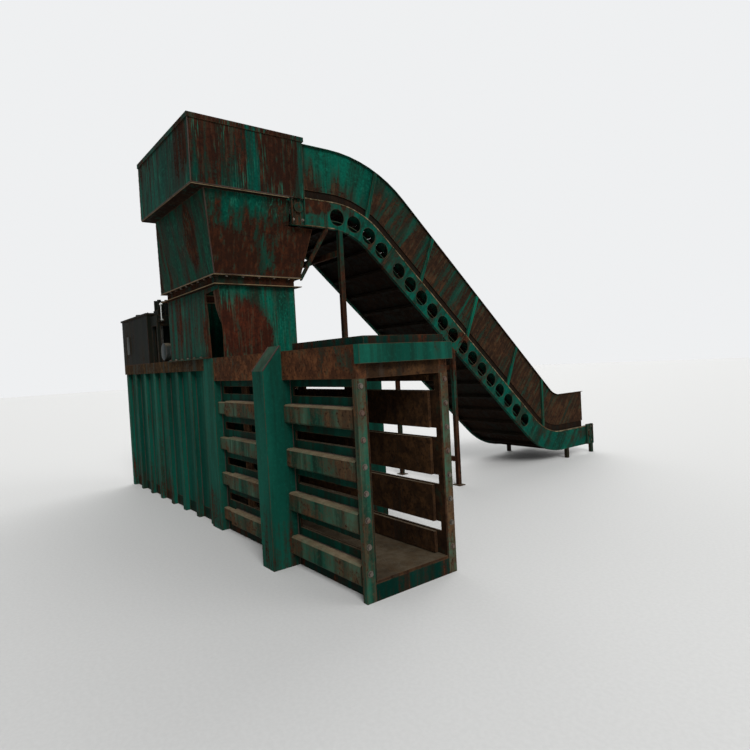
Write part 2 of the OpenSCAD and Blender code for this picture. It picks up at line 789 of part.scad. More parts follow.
module near_girder() color(green) translate([conv_near, 0, 0]) mirror([1, 0, 0]) girder();

module far_girder() color(green) translate([conv_far, 0, 0]) girder();

// Skirt sheet with a folded top rim; the rim turns towards +x
module skirt() {
  y0 = box_far;
  along_x(0, skirt_t) polygon(strip(skirt_gap, skirt_h, y0, tail_end - 260));
  along_x(skirt_t, 34) polygon(strip(skirt_h - skirt_t, skirt_h, y0, tail_end - 260));
}

module near_skirt() color(rust) translate([skirt_x, 0, 0]) skirt();

module far_skirt() color(rust) translate([skirt_x2, 0, 0]) mirror([1, 0, 0]) skirt();

// Flat bar ribs that carry the skirts on the girder rails, plus an inner wear strip
module skirt_ribs() color(green) {
  depth = 24;
  for (k = [0:4]) {
    s = rib_start + k * skirt_rib_pitch;
    p = run_point(s, 0);
    lean = s > bend_len(0) + incline_len ? 0 : rib_lean * min(1, s / bend_len(0));
    for (side = [0, 1]) translate([side == 0 ? skirt_x + skirt_t : skirt_x2 - skirt_t, 0, 0])
      mirror([side, 0, 0]) intersection() {
        translate([0, p[0], p[1]]) rotate([-lean, 0, 0]) slab([0, -22, -120], [depth, 22, skirt_h * 2]);
        along_x(0, depth) polygon(strip(0, skirt_h - skirt_t, box_far, tail_end - 260));
      }
  }
}

// Under pan with its cross bars, and the side plates between rail and skirt
module conveyor_pan() color(dark_green) {
  x0 = conv_far + flange_w;
  x1 = conv_near - flange_w;
  along_x(conv_far + girder_t, conv_near - girder_t)
    polygon(strip(pan_off - 5, pan_off, box_far + 260, tail_end - 330));
  for (s = [0:300:5200]) {
    p = run_point(s, pan_off - 5);
    translate([0, p[0], p[1]]) rotate([p[2], 0, 0]) slab([x0, -20, -44], [x1, 20, 0]);
  }
  for (x = [skirt_x - 14, skirt_x2 + 14 - skirt_t])
    along_x(x, x + skirt_t) polygon(strip(seat, skirt_gap + 30, box_far + 1, tail_end - 262));
}

// Slat chain on its closed path
level_top = level_end - head_y;
top_len = level_top + bend_len(top_off) + incline_len + foot_len_of(top_off) + (tail_y - foot_y);
low_len = level_top + bend_len(low_off) + incline_len + foot_len_of(low_off) + (tail_y - foot_y);
turn_len = PI * chain_r;
loop_len = top_len + turn_len + low_len + turn_len;
// Place and tilt of a slat at distance s round the loop
function loop_point(s) =
  s < top_len ? let (p = run_point(s - level_top, top_off)) [p[0], p[1], p[2]] :
  s < top_len + turn_len ? let (a = (s - top_len) / turn_len * 180)
    [tail_y + chain_r * sin(a), foot_z + shaft_off + chain_r * cos(a), -a] :
  s < top_len + turn_len + low_len ?
    let (p = run_point(low_len - level_top - (s - top_len - turn_len), low_off))
    [p[0], p[1], p[2] + 180] :
  let (a = (s - top_len - turn_len - low_len) / turn_len * 180)
    [head_y - chain_r * sin(a), rail_z + shaft_off - chain_r * cos(a), 180 - a];

// One slat: a plate with a chain link at each end, and a flight on every sixth
module slat(with_flight, link_shift) {
  half = loop_len / slat_count / 2 - 2.2;
  reach = half + 11;
  slab([-slat_half, -half, 0], [slat_half, half, slat_t]);
  for (side = [0, 1]) mirror([side, 0, 0])
    along_x(slat_half - lug_in - lug_t - link_shift, slat_half - lug_in - link_shift)
      polygon([[-reach, -lug_h + 3], [-reach + 3, -lug_h], [reach - 3, -lug_h], [reach, -lug_h + 3],
        [reach, -4], [half - 8, -4], [half - 12, 0], [-half + 12, 0], [-half + 8, -4], [-reach, -4]]);
  if (with_flight) slab([-slat_half + 60, -5, slat_t], [slat_half - 60, 5, slat_t + flight_h]);
}

module slat_chain() color(rust) {
  for (i = [0:slat_count - 1]) {
    p = loop_point(loop_len * (i + 0.5) / slat_count);
    translate([conv_mid, p[0], p[1]]) rotate([p[2], 0, 0]) slat(i % 6 == 2, (i % 2) * (lug_t + seat));
  }
}

// Sprocket disc with teeth that stay inside the chain lugs
module sprocket(x, y, z) {
  tip = chain_r - 15;
  teeth = 9;
  translate([x, y, z]) rotate([90, 0, 90]) linear_extrude(14) difference() {
    polygon([for (i = [0:teeth * 4 - 1])
      let (r = (i % 4 < 2) ? tip : tip - 9, a = i * 90 / teeth) [r * cos(a), r * sin(a)]]);
    circle(r = shaft_r - 0.05);
  }
}

module turning_shaft(x0, x1, y, z) {
  rod_x(x0, x1, y, z, shaft_r - 0.05);
  sprocket(conv_mid - slat_half + 31, y, z);
  sprocket(conv_mid + slat_half - 45, y, z);
  for (x = [conv_mid - slat_half + 45, conv_mid + slat_half - 85])
    rod_x(x, x + 40, y, z, chain_r - lug_h - seat);
}

module head_shaft() color(steel)
  turning_shaft(case_x1 - 36, conv_near + bearing_t - 12, head_y, rail_z + shaft_off);

module tail_shaft() color(steel)
  turning_shaft(conv_far - bearing_t + 12, conv_near + bearing_t - 12, tail_y, foot_z + shaft_off);

// Channel shaped take-up housing over the girder's end, with a ribbed cover over its bearing
module bearing(y, z, depth) {
  half = 80;
  rail = z - shaft_off;
  lo = rail - girder_h;
  hi = rail + 26;
  difference() {
    union() {
      slab([0, y - half, lo], [8, y + half, hi]);
      for (dy = [-half, half - 12]) slab([8, y + dy, lo], [bearing_t, y + dy + 12, hi]);
      rod_x(8, bearing_t, y, z, 50);
      for (dy = [-34, 24]) slab([8, y + dy, lo + 12], [18, y + dy + 10, hi - 12]);
    }
    rod_x(-1, depth, y, z, shaft_r);
  }
}

module shaft_bearings() color(green) {
  blind = bearing_t - 8;
  translate([conv_near, 0, 0]) {
    bearing(head_y, rail_z + shaft_off, blind);
    bearing(tail_y, foot_z + shaft_off, blind);
  }
  translate([conv_far, 0, 0]) mirror([1, 0, 0]) {
    bearing(head_y, rail_z + shaft_off, bearing_t + 1);
    bearing(tail_y, foot_z + shaft_off, blind);
  }
}

// Chain case beside the rear girder, with the gearbox and flange motor that drive it
module conveyor_drive() color(grey) {
  r = 82;
  box_x = case_x0 - 120;
  difference() {
    union() {
      rod_x(case_x0, case_x1, head_y, drive_z, r);
      rod_x(case_x0, case_x1, drive_y, drive_z, r);
      slab([case_x0, head_y, drive_z - r], [case_x1, drive_y, drive_z + r]);
      slab([case_x1, drive_y - 45, drive_z - 60], [conv_far, drive_y + 45, drive_z + 60]);
    }
    rod_x(case_x1 - 38, case_x1 + 1, head_y, drive_z, shaft_r + 1);
  }
  slab([box_x, drive_y - 95, drive_z - 90], [case_x0, drive_y + 95, drive_z + 90]);
  rod_x(box_x - 30, box_x, drive_y, drive_z, 88);
  rod_x(box_x - 270, box_x - 30, drive_y, drive_z, 70);
  for (i = [0:8]) rod_x(box_x - 60 - i * 24, box_x - 52 - i * 24, drive_y, drive_z, 82);
  rod_x(box_x - 320, box_x - 270, drive_y, drive_z, 84);
}

// Strut from the channel ring's lip up to the girder's lower flange
module head_strut(x_foot, x_head) {
  foot_z0 = flare_z - 24;
  foot_y0 = half_w + band_d + seat;
  head_z1 = rail_z - girder_h - seat;
  head_y0 = box_far + 265;
  hull() {
    slab([x_foot - 16, foot_y0, foot_z0], [x_foot + 16, foot_y0 + 8, foot_z0 + 40]);
    slab([x_head - 16, head_y0, head_z1 - 30], [x_head + 16, head_y0 + 30, head_z1]);
  }
}

// Posts under both girders, cut to the girder's lower edge, with feet, cross ties and struts
module conveyor_legs() color(green) {
  w = leg_w;
  x_near = conv_near - w;
  difference() {
    union() {
      for (s = [leg_start, bend_len(0) + joint_pitch], x = [x_near, conv_far]) {
        p = run_point(s, -girder_h);
        slab([x, p[0] - w / 2, 10], [x + w, p[0] + w / 2, p[1] + w]);
        slab([x - 40, p[0] - w, 0], [x + w + 40, p[0] + w, 10]);
      }
      for (s = [leg_start, bend_len(0) + joint_pitch]) {
        p = run_point(s, -girder_h);
        for (z = [300, p[1] - 260]) slab([conv_far + w, p[0] - 20, z], [x_near, p[0] + 20, z + 60]);
      }
      for (y = [foot_y + foot_leg, tail_end - w], x = [x_near, conv_far])
        slab([x, y - w / 2, 0], [x + w, y + w / 2, foot_z - girder_h]);
    }
    along_x(conv_far - 1, conv_near + 1)
      polygon(concat(whole_run(-girder_h - seat, head_start, tail_end),
        [[tail_end, box_top], [head_start, box_top]]));
  }
  head_strut(half_chute + band_d - 18, conv_near - 24);
  head_strut(conv_far + 24, conv_far + 24);
}

// Power unit

module oil_tank() color(black) {
  z1 = deck_z + tank_h;
  difference() {
    slab([tank_x0, tank_y0, deck_z], [tank_x1, tank_y1, z1]);
    slab([tank_x0 + tank_t, tank_y0 + tank_t, deck_z + tank_t],
      [tank_x1 - tank_t, tank_y1 - tank_t, z1 + 1]);
  }
  slab([tank_x0 - 15, tank_y0 - 15, z1], [tank_x1 + 15, tank_y1 + 15, z1 + 24]);
}

// Filler cap, return filter and level gauge of the tank
module tank_fittings() color(grey) {
  z = deck_z + tank_h + 24;
  rod_z(z, z + 55, tank_x0 + 220, tank_y0 + 200, 45);
  rod_z(z + 55, z + 75, tank_x0 + 220, tank_y0 + 200, 58);
  rod_z(z, z + 120, tank_x1 - 420, tank_y0 + 420, 60);
  rod_z(z + 120, z + 138, tank_x1 - 420, tank_y0 + 420, 72);
  slab([tank_x0 + 300, tank_y0 - 22, deck_z + 150], [tank_x0 + 345, tank_y0, deck_z + 400]);
}

// Finned pump motor lying across the deck
module pump_motor() color(grey) {
  y0 = -half_w + 20;
  r = motor_d / 2;
  rod_y(y0 + 60, y0 + motor_len, motor_x, motor_z, r - 14);
  rod_y(y0, y0 + 60, motor_x, motor_z, r - 4);
  rod_y(y0 + motor_len - 30, y0 + motor_len, motor_x, motor_z, r);
  for (a = [10:20:350]) translate([motor_x, 0, motor_z]) rotate([0, a, 0])
    slab([r - 22, y0 + 75, -2], [r - 2, y0 + motor_len - 45, 2]);
  for (y = [y0 + 90, y0 + motor_len - 90])
    slab([motor_x - 100, y, deck_z], [motor_x + 100, y + 40, motor_z - r + 30]);
}

// Bell housing and gear pump on the motor
module oil_pump() color(dark_green) {
  y0 = -half_w + 20 + motor_len;
  rod_y(y0, y0 + 25, motor_x, motor_z, motor_d / 2);
  rod_y(y0 + 25, y0 + 140, motor_x, motor_z, motor_d / 2 - 22);
  slab([motor_x - 60, y0 + 140, motor_z - 70], [motor_x + 60, y0 + pump_len, motor_z + 70]);
  rod_z(motor_z + 70, motor_z + 100, motor_x, y0 + pump_len - 60, 26);
}

// Valve stand, manifold with solenoid valves, and the ears of the hand lever
module valve_block() color(black) {
  y0 = valve_y;
  top = valve_z + manifold_h;
  for (x = [valve_x0, valve_x1 - valve_leg], y = [y0, y0 + valve_d - valve_leg])
    slab([x, y, deck_z], [x + valve_leg, y + valve_leg, valve_z]);
  slab([valve_x0, y0, valve_z], [valve_x1, y0 + valve_d, top]);
  for (i = [0:2]) {
    y = y0 + 30 + i * 92;
    slab([valve_x0 + 40, y, top], [valve_x1 - 40, y + 62, top + 70]);
    for (x = [valve_x0 + 62, valve_x1 - 62]) rod_z(top + 70, top + 200, x, y + 31, 24);
  }
  for (y = [y0 + 20, y0 + 68]) slab([valve_x1, y, lever_z - 20], [lever_x + 20, y + 12, lever_z + 20]);
  rod_y(y0 + 20, y0 + 80, lever_x, lever_z, 8);
}

// Hand lever of the directional valve
module valve_lever() color(steel) {
  y = valve_y + 50;
  difference() {
    rod_y(y - 17, y + 17, lever_x, lever_z, 16);
    rod_y(y - 18, y + 18, lever_x, lever_z, 8.1);
  }
  rod_z(lever_z + 13, lever_z + 190, lever_x, y, 6);
  translate([lever_x, y, lever_z + 200]) sphere(r = 18);
}

// Pipe through a list of points whose legs run along the axes, with ball elbows
module pipe(points) {
  for (i = [0:len(points) - 2]) {
    d = points[i + 1] - points[i];
    translate(points[i])
      rotate([0, d[2] < 0 ? 180 : d[2] > 0 ? 0 : 90, d[1] > 0 ? 90 : d[1] < 0 ? -90 : d[0] < 0 ? 180 : 0])
        cylinder(h = norm(d), d = pipe_d);
  }
  for (i = [1:1:len(points) - 2]) translate(points[i]) sphere(d = pipe_d);
}

// Delivery, suction and return pipes, and the two lines to the cylinder
module oil_pipes() color(steel) {
  pump_y = -half_w + 20 + motor_len + 230;
  mid_x = (valve_x0 + valve_x1) / 2;
  mid_z = valve_z + manifold_h / 2;
  high = port_z + 170;
  pipe([[motor_x, pump_y, motor_z + 100], [motor_x, pump_y, mid_z], [mid_x, pump_y, mid_z],
    [mid_x, valve_y + 300, mid_z]]);
  pipe([[motor_x - 60, pump_y, motor_z], [tank_x1, pump_y, motor_z]]);
  pipe([[valve_x0, valve_y + 150, mid_z], [tank_x1, valve_y + 150, mid_z]]);
  pipe([[front_line_x, line_y, valve_z], [front_line_x, line_y, high], [front_line_x, 0, high],
    [front_port_x, 0, high], [front_port_x, 0, port_z]]);
  pipe([[rear_line_x, line_y, valve_z], [rear_line_x, line_y, port_z + 300],
    [rear_port_x, line_y, port_z + 300], [rear_port_x, 0, port_z + 300], [rear_port_x, 0, port_z]]);
}

base_frame();
channel_floor();
near_wall();
far_wall();
near_ribs();
far_ribs();
near_rear_plate();
far_rear_plate();
near_top_beam();
far_top_beam();
corner_posts();
ceiling();
outlet_cross_beam();
deck_cover();
near_clamp_post();
far_clamp_post();
rear_bulkhead();
rear_deck();
fixed_blade();
cylinder_barrel();
cylinder_gland();
piston_rod();
ram();
ram_blade();
ram_follower();
near_clamp_plate();
far_clamp_plate();
clamp_pins();
near_clamp_rod();
far_clamp_rod();
clamp_cylinders();
chute_near_panel();
chute_far_panel();
chute_end_panels();
hopper_band();
flare_near_panel();
flare_far_panel();
flare_exit_panel();
flare_rear_panel();
hopper_ledge();
hopper_box();
near_girder();
far_girder();
near_skirt();
far_skirt();
skirt_ribs();
conveyor_pan();
slat_chain();
head_shaft();
tail_shaft();
shaft_bearings();
conveyor_drive();
conveyor_legs();
oil_tank();
tank_fittings();
pump_motor();
oil_pump();
valve_block();
valve_lever();
oil_pipes();
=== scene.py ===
"""Looks of a horizontal recycling press with its charge hopper and slat feed conveyor."""
from __future__ import annotations

import logging
import math
from dataclasses import dataclass, replace
from enum import Enum

import bpy
from mathutils import Matrix, Vector


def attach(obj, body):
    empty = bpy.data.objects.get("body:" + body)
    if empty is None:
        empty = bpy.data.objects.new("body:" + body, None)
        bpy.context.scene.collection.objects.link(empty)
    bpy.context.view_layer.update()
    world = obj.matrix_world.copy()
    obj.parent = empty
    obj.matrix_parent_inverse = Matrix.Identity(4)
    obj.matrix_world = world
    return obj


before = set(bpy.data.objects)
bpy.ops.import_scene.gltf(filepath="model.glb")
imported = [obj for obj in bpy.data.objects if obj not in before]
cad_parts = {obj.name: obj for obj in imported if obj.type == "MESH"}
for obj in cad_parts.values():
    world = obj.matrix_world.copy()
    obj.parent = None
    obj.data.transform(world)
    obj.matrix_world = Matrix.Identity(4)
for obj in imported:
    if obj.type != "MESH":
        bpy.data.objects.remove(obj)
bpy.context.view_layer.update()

LOG = logging.getLogger("baler")

Socket = bpy.types.NodeSocket
Tone = tuple[int, int, int]
Span = tuple[float, float]
Point = tuple[float, float, float]

# The conveyor's slope, and its upper bend as Y and Z of the centre and the radius.
CONVEYOR_SLOPE = math.radians(42.0)
UPPER_BEND: Point = (0.784, 2.345, 0.985)

# Colours that all weathered finishes share.
GRIME: Tone = (18, 23, 16)
DEEP_SPECK: Tone = (9, 17, 13)
DRIP: Tone = (30, 92, 74)
PIT: Tone = (24, 16, 14)

# Repeats for a metre of the patterns that all weathered finishes share.
BROAD_BANDS: Point = (3.2, 3.2, 0.35)
GRIME_RUNS: Point = (11.0, 11.0, 0.7)
DRIP_RUNS: Point = (70.0, 70.0, 4.0)
DRIP_FIELDS: Point = (5.0, 5.0, 2.2)
SPECKS = 36.0
FLAKES = 12.0
DENTS = 2.6

# The specular level of old paint, and sizes in metres that several pieces share.
PAINT_GLOSS = 0.018
WASHER_THICKNESS = 0.006
WELD_WAVER = 0.0012

UP: Point = (0.0, 0.0, 1.0)
DOWN: Point = (0.0, 0.0, -1.0)


def linear(tone: Tone) -> tuple[float, float, float, float]:
    """Turn a display colour into the scene's linear colour.

    Args:
        tone: Red, green and blue from 0 to 255.

    Returns:
        The linear colour with an alpha of 1.
    """
    values = [c / 255 for c in tone]
    low = [c / 12.92 if c <= 0.04045 else ((c + 0.055) / 1.055) ** 2.4 for c in values]
    return low[0], low[1], low[2], 1.0


class ShaderGraph:
    """Short names for the shader nodes that the finishes are made of."""

    def __init__(self, name: str) -> None:
        """Start an empty material.

        Args:
            name: The material's name.
        """
        self.material = bpy.data.materials.new(name)
        self.material.use_nodes = True
        self.nodes = self.material.node_tree.nodes
        self.links = self.material.node_tree.links
        self.nodes.clear()
        self.output = self.nodes.new("ShaderNodeOutputMaterial")
        self.shader = self.nodes.new("ShaderNodeBsdfPrincipled")
        self.links.new(self.shader.outputs["BSDF"], self.output.inputs["Surface"])
        coords = self.nodes.new("ShaderNodeTexCoord")
        self.place = coords.outputs["Object"]
        self.grain = self.place
        self.normal = self.nodes.new("ShaderNodeNewGeometry").outputs["Normal"]

    def plug(self, value: object, socket: Socket) -> None:
        """Set a socket from another socket or from a plain value.

        Args:
            value: A socket to link, or a number or vector to store.
            socket: The input that takes it.
        """
        if isinstance(value, Socket):
            self.links.new(value, socket)
        else:
            socket.default_value = value

    def follow_bend(self, bend: Point, slope: float) -> None:
        """Let the stretched patterns follow a sheet that is level, bends and then slopes down.

        Args:
            bend: Y and Z of the bend's centre and its radius, in metres.
            slope: Slope of the sheet after the bend, in radians.
        """
        y = self.math("SUBTRACT", self.axis(self.place, "Y"), bend[0])
        z = self.math("SUBTRACT", self.axis(self.place, "Z"), bend[1])
        turn = self.math("MINIMUM", self.math("MAXIMUM", self.math("ARCTAN2", y, z), 0.0), slope)
        cos, sin = self.math("COSINE", turn), self.math("SINE", turn)
        along = self.math("SUBTRACT", self.math("MULTIPLY", y, cos), self.math("MULTIPLY", z, sin))
        across = self.math("ADD", self.math("MULTIPLY", y, sin), self.math("MULTIPLY", z, cos))
        node = self.nodes.new("ShaderNodeCombineXYZ")
        self.plug(self.axis(self.place, "X"), node.inputs["X"])
        self.plug(self.math("ADD", along, self.math("MULTIPLY", turn, bend[2])), node.inputs["Y"])
        self.plug(across, node.inputs["Z"])
        self.grain = node.outputs["Vector"]

    def away(self, centre: Point, half: Point) -> Socket:
        """Measure how far a place lies from a centre, in units of a patch's half sizes.

        Args:
            centre: The patch's centre in metres.
            half: Its half sizes along X, Y and Z.

        Returns:
            The distance, 1 on the patch's rim.
        """
        node = self.nodes.new("ShaderNodeMapping")
        node.inputs["Location"].default_value = [-c / h for c, h in zip(centre, half)]
        node.inputs["Scale"].default_value = [1 / h for h in half]
        self.links.new(self.place, node.inputs["Vector"])
        length = self.nodes.new("ShaderNodeVectorMath")
        length.operation = "LENGTH"
        self.links.new(node.outputs["Vector"], length.inputs[0])
        return length.outputs["Value"]

    def stretched(self, scale: Point) -> Socket:
        """Give the object coordinates, scaled along each axis.

        Args:
            scale: Pattern repeats for a metre along X, Y and Z.

        Returns:
            The scaled coordinates.
        """
        node = self.nodes.new("ShaderNodeMapping")
        node.inputs["Scale"].default_value = scale
        self.links.new(self.grain, node.inputs["Vector"])
        return node.outputs["Vector"]

    def noise(self, vector: Socket, scale: float, detail: float = 4.0,
              rough: float = 0.55) -> Socket:
        """Add a noise pattern.

        Args:
            vector: Where the pattern is read.
            scale: Pattern size.
            detail: Number of finer layers.
            rough: Strength of the finer layers.

        Returns:
            The pattern's value.
        """
        node = self.nodes.new("ShaderNodeTexNoise")
        self.links.new(vector, node.inputs["Vector"])
        node.inputs["Scale"].default_value = scale
        node.inputs["Detail"].default_value = detail
        node.inputs["Roughness"].default_value = rough
        return node.outputs["Fac"]

    def math(self, kind: str, first: object, second: object = 0.0) -> Socket:
        """Combine two values.

        Args:
            kind: Blender's name of the operation.
            first: First value or socket.
            second: Second value or socket.

        Returns:
            The result.
        """
        node = self.nodes.new("ShaderNodeMath")
        node.operation = kind
        self.plug(first, node.inputs[0])
        self.plug(second, node.inputs[1])
        return node.outputs[0]

    def weighted(self, *parts: tuple[Socket, float]) -> Socket:
        """Add patterns, each with its share.

        Args:
            parts: Each pattern and its share.

        Returns:
            The sum.
        """
        total: object = 0.0
        for pattern, share in parts:
            total = self.math("ADD", self.math("MULTIPLY", pattern, share), total)
        return total

    def step(self, value: object, low: float, high: float, top: float = 1.0) -> Socket:
        """Turn a value into a soft mask that rises from low to high.

        Args:
            value: The value or socket read.
            low: Where the mask starts.
            high: Where the mask is full.
            top: The mask's full value.

        Returns:
            The mask.
        """
        node = self.nodes.new("ShaderNodeMapRange")
        node.interpolation_type = "SMOOTHSTEP"
        self.plug(value, node.inputs["Value"])
        node.inputs["From Min"].default_value = low
        node.inputs["From Max"].default_value = high
        node.inputs["To Max"].default_value = top
        return node.outputs["Result"]

    def axis(self, vector: Socket, letter: str) -> Socket:
        """Read one axis of a vector.

        Args:
            vector: The vector socket.
            letter: X, Y or Z.

        Returns:
            The axis value.
        """
        node = self.nodes.new("ShaderNodeSeparateXYZ")
        self.links.new(vector, node.inputs[0])
        return node.outputs[letter]

    def blend(self, mask: Socket, below: object, above: object) -> Socket:
        """Lay one colour over another where the mask is full.

        Args:
            mask: The mask socket.
            below: Colour where the mask is empty.
            above: Colour where the mask is full.

        Returns:
            The mixed colour.
        """
        node = self.nodes.new("ShaderNodeMix")
        node.data_type = "RGBA"
        self.plug(mask, node.inputs["Factor"])
        self.plug(below, node.inputs[6])
        self.plug(above, node.inputs[7])
        return node.outputs[2]

    def edges(self, width: float) -> Socket:
        """Find the edges of plates and bars, by how far a rounded edge would turn the surface.

        Args:
            width: Width of the edge zone in metres.

        Returns:
            The edge mask.
        """
        rounded = self.nodes.new("ShaderNodeBevel")
        rounded.samples = 6
        rounded.inputs["Radius"].default_value = width
        turn = self.nodes.new("ShaderNodeVectorMath")
        turn.operation = "DOT_PRODUCT"
        self.links.new(rounded.outputs["Normal"], turn.inputs[0])
        self.links.new(self.normal, turn.inputs[1])
        return self.step(turn.outputs["Value"], 0.995, 0.86)

    def bump(self, height: Socket, strength: float, depth: float,
             before: Socket | None = None) -> Socket:
        """Add surface relief.

        Args:
            height: The relief's height pattern.
            strength: How much of it shows.
            depth: Real depth in metres.
            before: Relief that this one is added to.

        Returns:
            The bumped normal.
        """
        node = self.nodes.new("ShaderNodeBump")
        node.inputs["Strength"].default_value = strength
        node.inputs["Distance"].default_value = depth
        self.links.new(height, node.inputs["Height"])
        if before is not None:
            self.links.new(before, node.inputs["Normal"])
        return node.outputs["Normal"]


@dataclass(frozen=True)
class Patterns:
    """The noise patterns that a weathered finish is mixed from."""

    runs: Socket
    broad: Socket
    patches: Socket
    specks: Socket
    flake: Socket
    fine: Socket


@dataclass(frozen=True)
class WeatheredPaint:
    """Old paint on plate, with rust patches, run-down streaks, grime, dents and settled dust.

    Sizes are in metres, patterns in repeats for a metre, and shares and strengths from 0 to 1.

    Attributes:
        name: The material's name.
        paint: Colour of the sound paint.
        faded: Colour of the paint in its faded bands.
        rust: Colour of the old rust.
        fresh_rust: Colour of the fresh rust.
        dust: Colour of the settled dust.
        rust_cover: How much of the plate has rusted.
        dust_cover: How much of a level face the dust hides.
        streaks: The long runs of rust along X, Y and Z.
        patches: The rust's patches.
        face_bias: Rust added on faces that look along X, Y and Z, taken away on their opposites.
        low_z: Height where `low_bias` and `runs_up` start.
        high_z: Height where they are full.
        low_bias: Rust taken away above.
        runs_up: Rust added above, so that it seems to run down from the top edge.
        dents: Strength of the dents.
        sheen: Roughness of the sound paint.
        lip_levels: Heights between which dust lies on thin lips.
        edge: Colour of the worn edges.
        edge_width: Their width.
        fine: The finest grain along X, Y and Z.
        drips: Strength of the thin light runs.
        drip_zone: Heights where those runs end and where they are full.
        grime: Strength of the dark grime that has run down.
        run_share: Share of the long runs in the rust's pattern.
        mottle: Strength of the paint's light and dark specks.
        bend: Upper bend that the patterns follow, or None.
        blots: Places with more or less rust than the rest: centre, half sizes and weight.
    """

    name: str
    paint: Tone = (3, 49, 40)
    faded: Tone = (5, 66, 53)
    rust: Tone = (37, 22, 15)
    fresh_rust: Tone = (69, 38, 23)
    dust: Tone = (104, 94, 78)
    rust_cover: float = 0.45
    dust_cover: float = 0.7
    streaks: Point = (13.0, 13.0, 0.55)
    patches: float = 1.7
    face_bias: Point = (0.0, 0.0, 0.0)
    low_z: float = 0.0
    high_z: float = 1.0
    low_bias: float = 0.0
    runs_up: float = 0.0
    dents: float = 0.25
    sheen: float = 0.56
    lip_levels: tuple[Span, ...] = ()
    edge: Tone = (66, 45, 31)
    edge_width: float = 0.011
    fine: Point = (26.0, 26.0, 2.2)
    drips: float = 0.0
    drip_zone: Span = (-1.0, 0.0)
    grime: float = 0.72
    run_share: float = 0.34
    mottle: float = 0.2
    bend: Point | None = None
    blots: tuple[tuple[Point, Point, float], ...] = ()

    def material(self) -> bpy.types.Material:
        """Build the finish.

        Returns:
            The finished material.
        """
        g = ShaderGraph(self.name)
        if self.bend:
            g.follow_bend(self.bend, CONVEYOR_SLOPE)
        p = Patterns(runs=g.noise(g.stretched(self.streaks), 1.0, 6.0, 0.6),
                     broad=g.noise(g.stretched(BROAD_BANDS), 1.0, 3.0, 0.5),
                     patches=g.noise(g.place, self.patches, 6.0, 0.62),
                     specks=g.noise(g.place, SPECKS, 5.0, 0.7),
                     flake=g.noise(g.place, FLAKES, 6.0, 0.68),
                     fine=g.noise(g.stretched(self.fine), 1.0, 5.0, 0.65))
        body = self.rust_pattern(g, p)
        limit = 0.64 - 0.28 * self.rust_cover
        rusted = g.step(body, limit - 0.008, limit + 0.014)
        stained = g.step(body, limit - 0.075, limit + 0.008, 0.72)
        paint = g.blend(stained, self.paint_layer(g, p), linear(self.rust))
        colour = g.blend(rusted, paint, self.rust_layer(g, p))
        if self.drips:
            colour = self.drip_layer(g, colour)
        worn = g.math("MULTIPLY", g.edges(self.edge_width), g.step(p.flake, 0.36, 0.56, 0.9))
        colour = g.blend(worn, colour, linear(self.edge))
        settled = self.settled(g, p.patches)
        colour = g.blend(settled, colour, self.dust_layer(g, p))
        g.plug(colour, g.shader.inputs["Base Color"])
        self.surface(g, p, rusted, settled)
        return g.material

    def rust_pattern(self, g: ShaderGraph, p: Patterns) -> Socket:
        """Mix the pattern that the rust's limit cuts.

        Args:
            g: The material's graph.
            p: Its patterns.

        Returns:
            The pattern, higher where rust is likelier.
        """
        body = g.weighted((p.runs, self.run_share), (p.broad, 0.12),
                          (p.patches, 0.58 - self.run_share), (p.specks, 0.18), (p.fine, 0.12))
        ragged = g.weighted((p.patches, 0.9), (p.fine, 1.0), (p.runs, 1.4))
        return g.math("ADD", body, self.bias(g, ragged))

    def paint_layer(self, g: ShaderGraph, p: Patterns) -> Socket:
        """Colour the paint: faded bands, grime, and light and dark mottling.

        Args:
            g: The material's graph.
            p: Its patterns.

        Returns:
            The paint's colour.
        """
        paint = g.blend(g.step(p.broad, 0.36, 0.62), linear(self.paint), linear(self.faded))
        runs = g.noise(g.stretched(GRIME_RUNS), 1.0, 5.0, 0.62)
        paint = g.blend(g.step(runs, 0.44, 0.62, self.grime), paint, linear(GRIME))
        bright = tuple(min(255, round(c * 1.35) + 6) for c in self.faded)
        paint = g.blend(g.step(p.specks, 0.53, 0.64, 0.55 * self.mottle), paint, linear(bright))
        dark = g.step(p.specks, 0.47, 0.36, 0.6 * self.mottle)
        return g.blend(dark, paint, linear(DEEP_SPECK))

    def rust_layer(self, g: ShaderGraph, p: Patterns) -> Socket:
        """Colour the rust: old and fresh, with scraps of paint left on it and dark pits.

        Args:
            g: The material's graph.
            p: Its patterns.

        Returns:
            The rust's colour.
        """
        mixed = g.weighted((p.fine, 0.42), (p.flake, 0.36), (p.patches, 0.22))
        rust = g.blend(g.step(mixed, 0.45, 0.62), linear(self.rust), linear(self.fresh_rust))
        rust = g.blend(g.step(p.fine, 0.56, 0.64, 0.5), rust, linear(self.paint))
        return g.blend(g.step(p.specks, 0.52, 0.64, 0.7), rust, linear(PIT))

    def drip_layer(self, g: ShaderGraph, colour: Socket) -> Socket:
        """Lay thin light runs over the colour.

        Args:
            g: The material's graph.
            colour: The colour below them.

        Returns:
            The colour with the runs.
        """
        thin = g.noise(g.stretched(DRIP_RUNS), 1.0, 3.0, 0.6)
        fields = g.noise(g.stretched(DRIP_FIELDS), 1.0, 3.0, 0.6)
        zone = g.step(g.axis(g.place, "Z"), *self.drip_zone)
        where = g.math("MULTIPLY", g.step(fields, 0.46, 0.62, self.drips), zone)
        where = g.math("MULTIPLY", g.step(thin, 0.54, 0.62), where)
        return g.blend(where, colour, linear(DRIP))

    def dust_layer(self, g: ShaderGraph, p: Patterns) -> Socket:
        """Colour the settled dust.

        Args:
            g: The material's graph.
            p: Its patterns.

        Returns:
            The dust's colour.
        """
        shade = tuple(max(0, c - 22) for c in self.dust)
        return g.blend(g.step(p.flake, 0.3, 0.7), linear(self.dust), linear(shade))

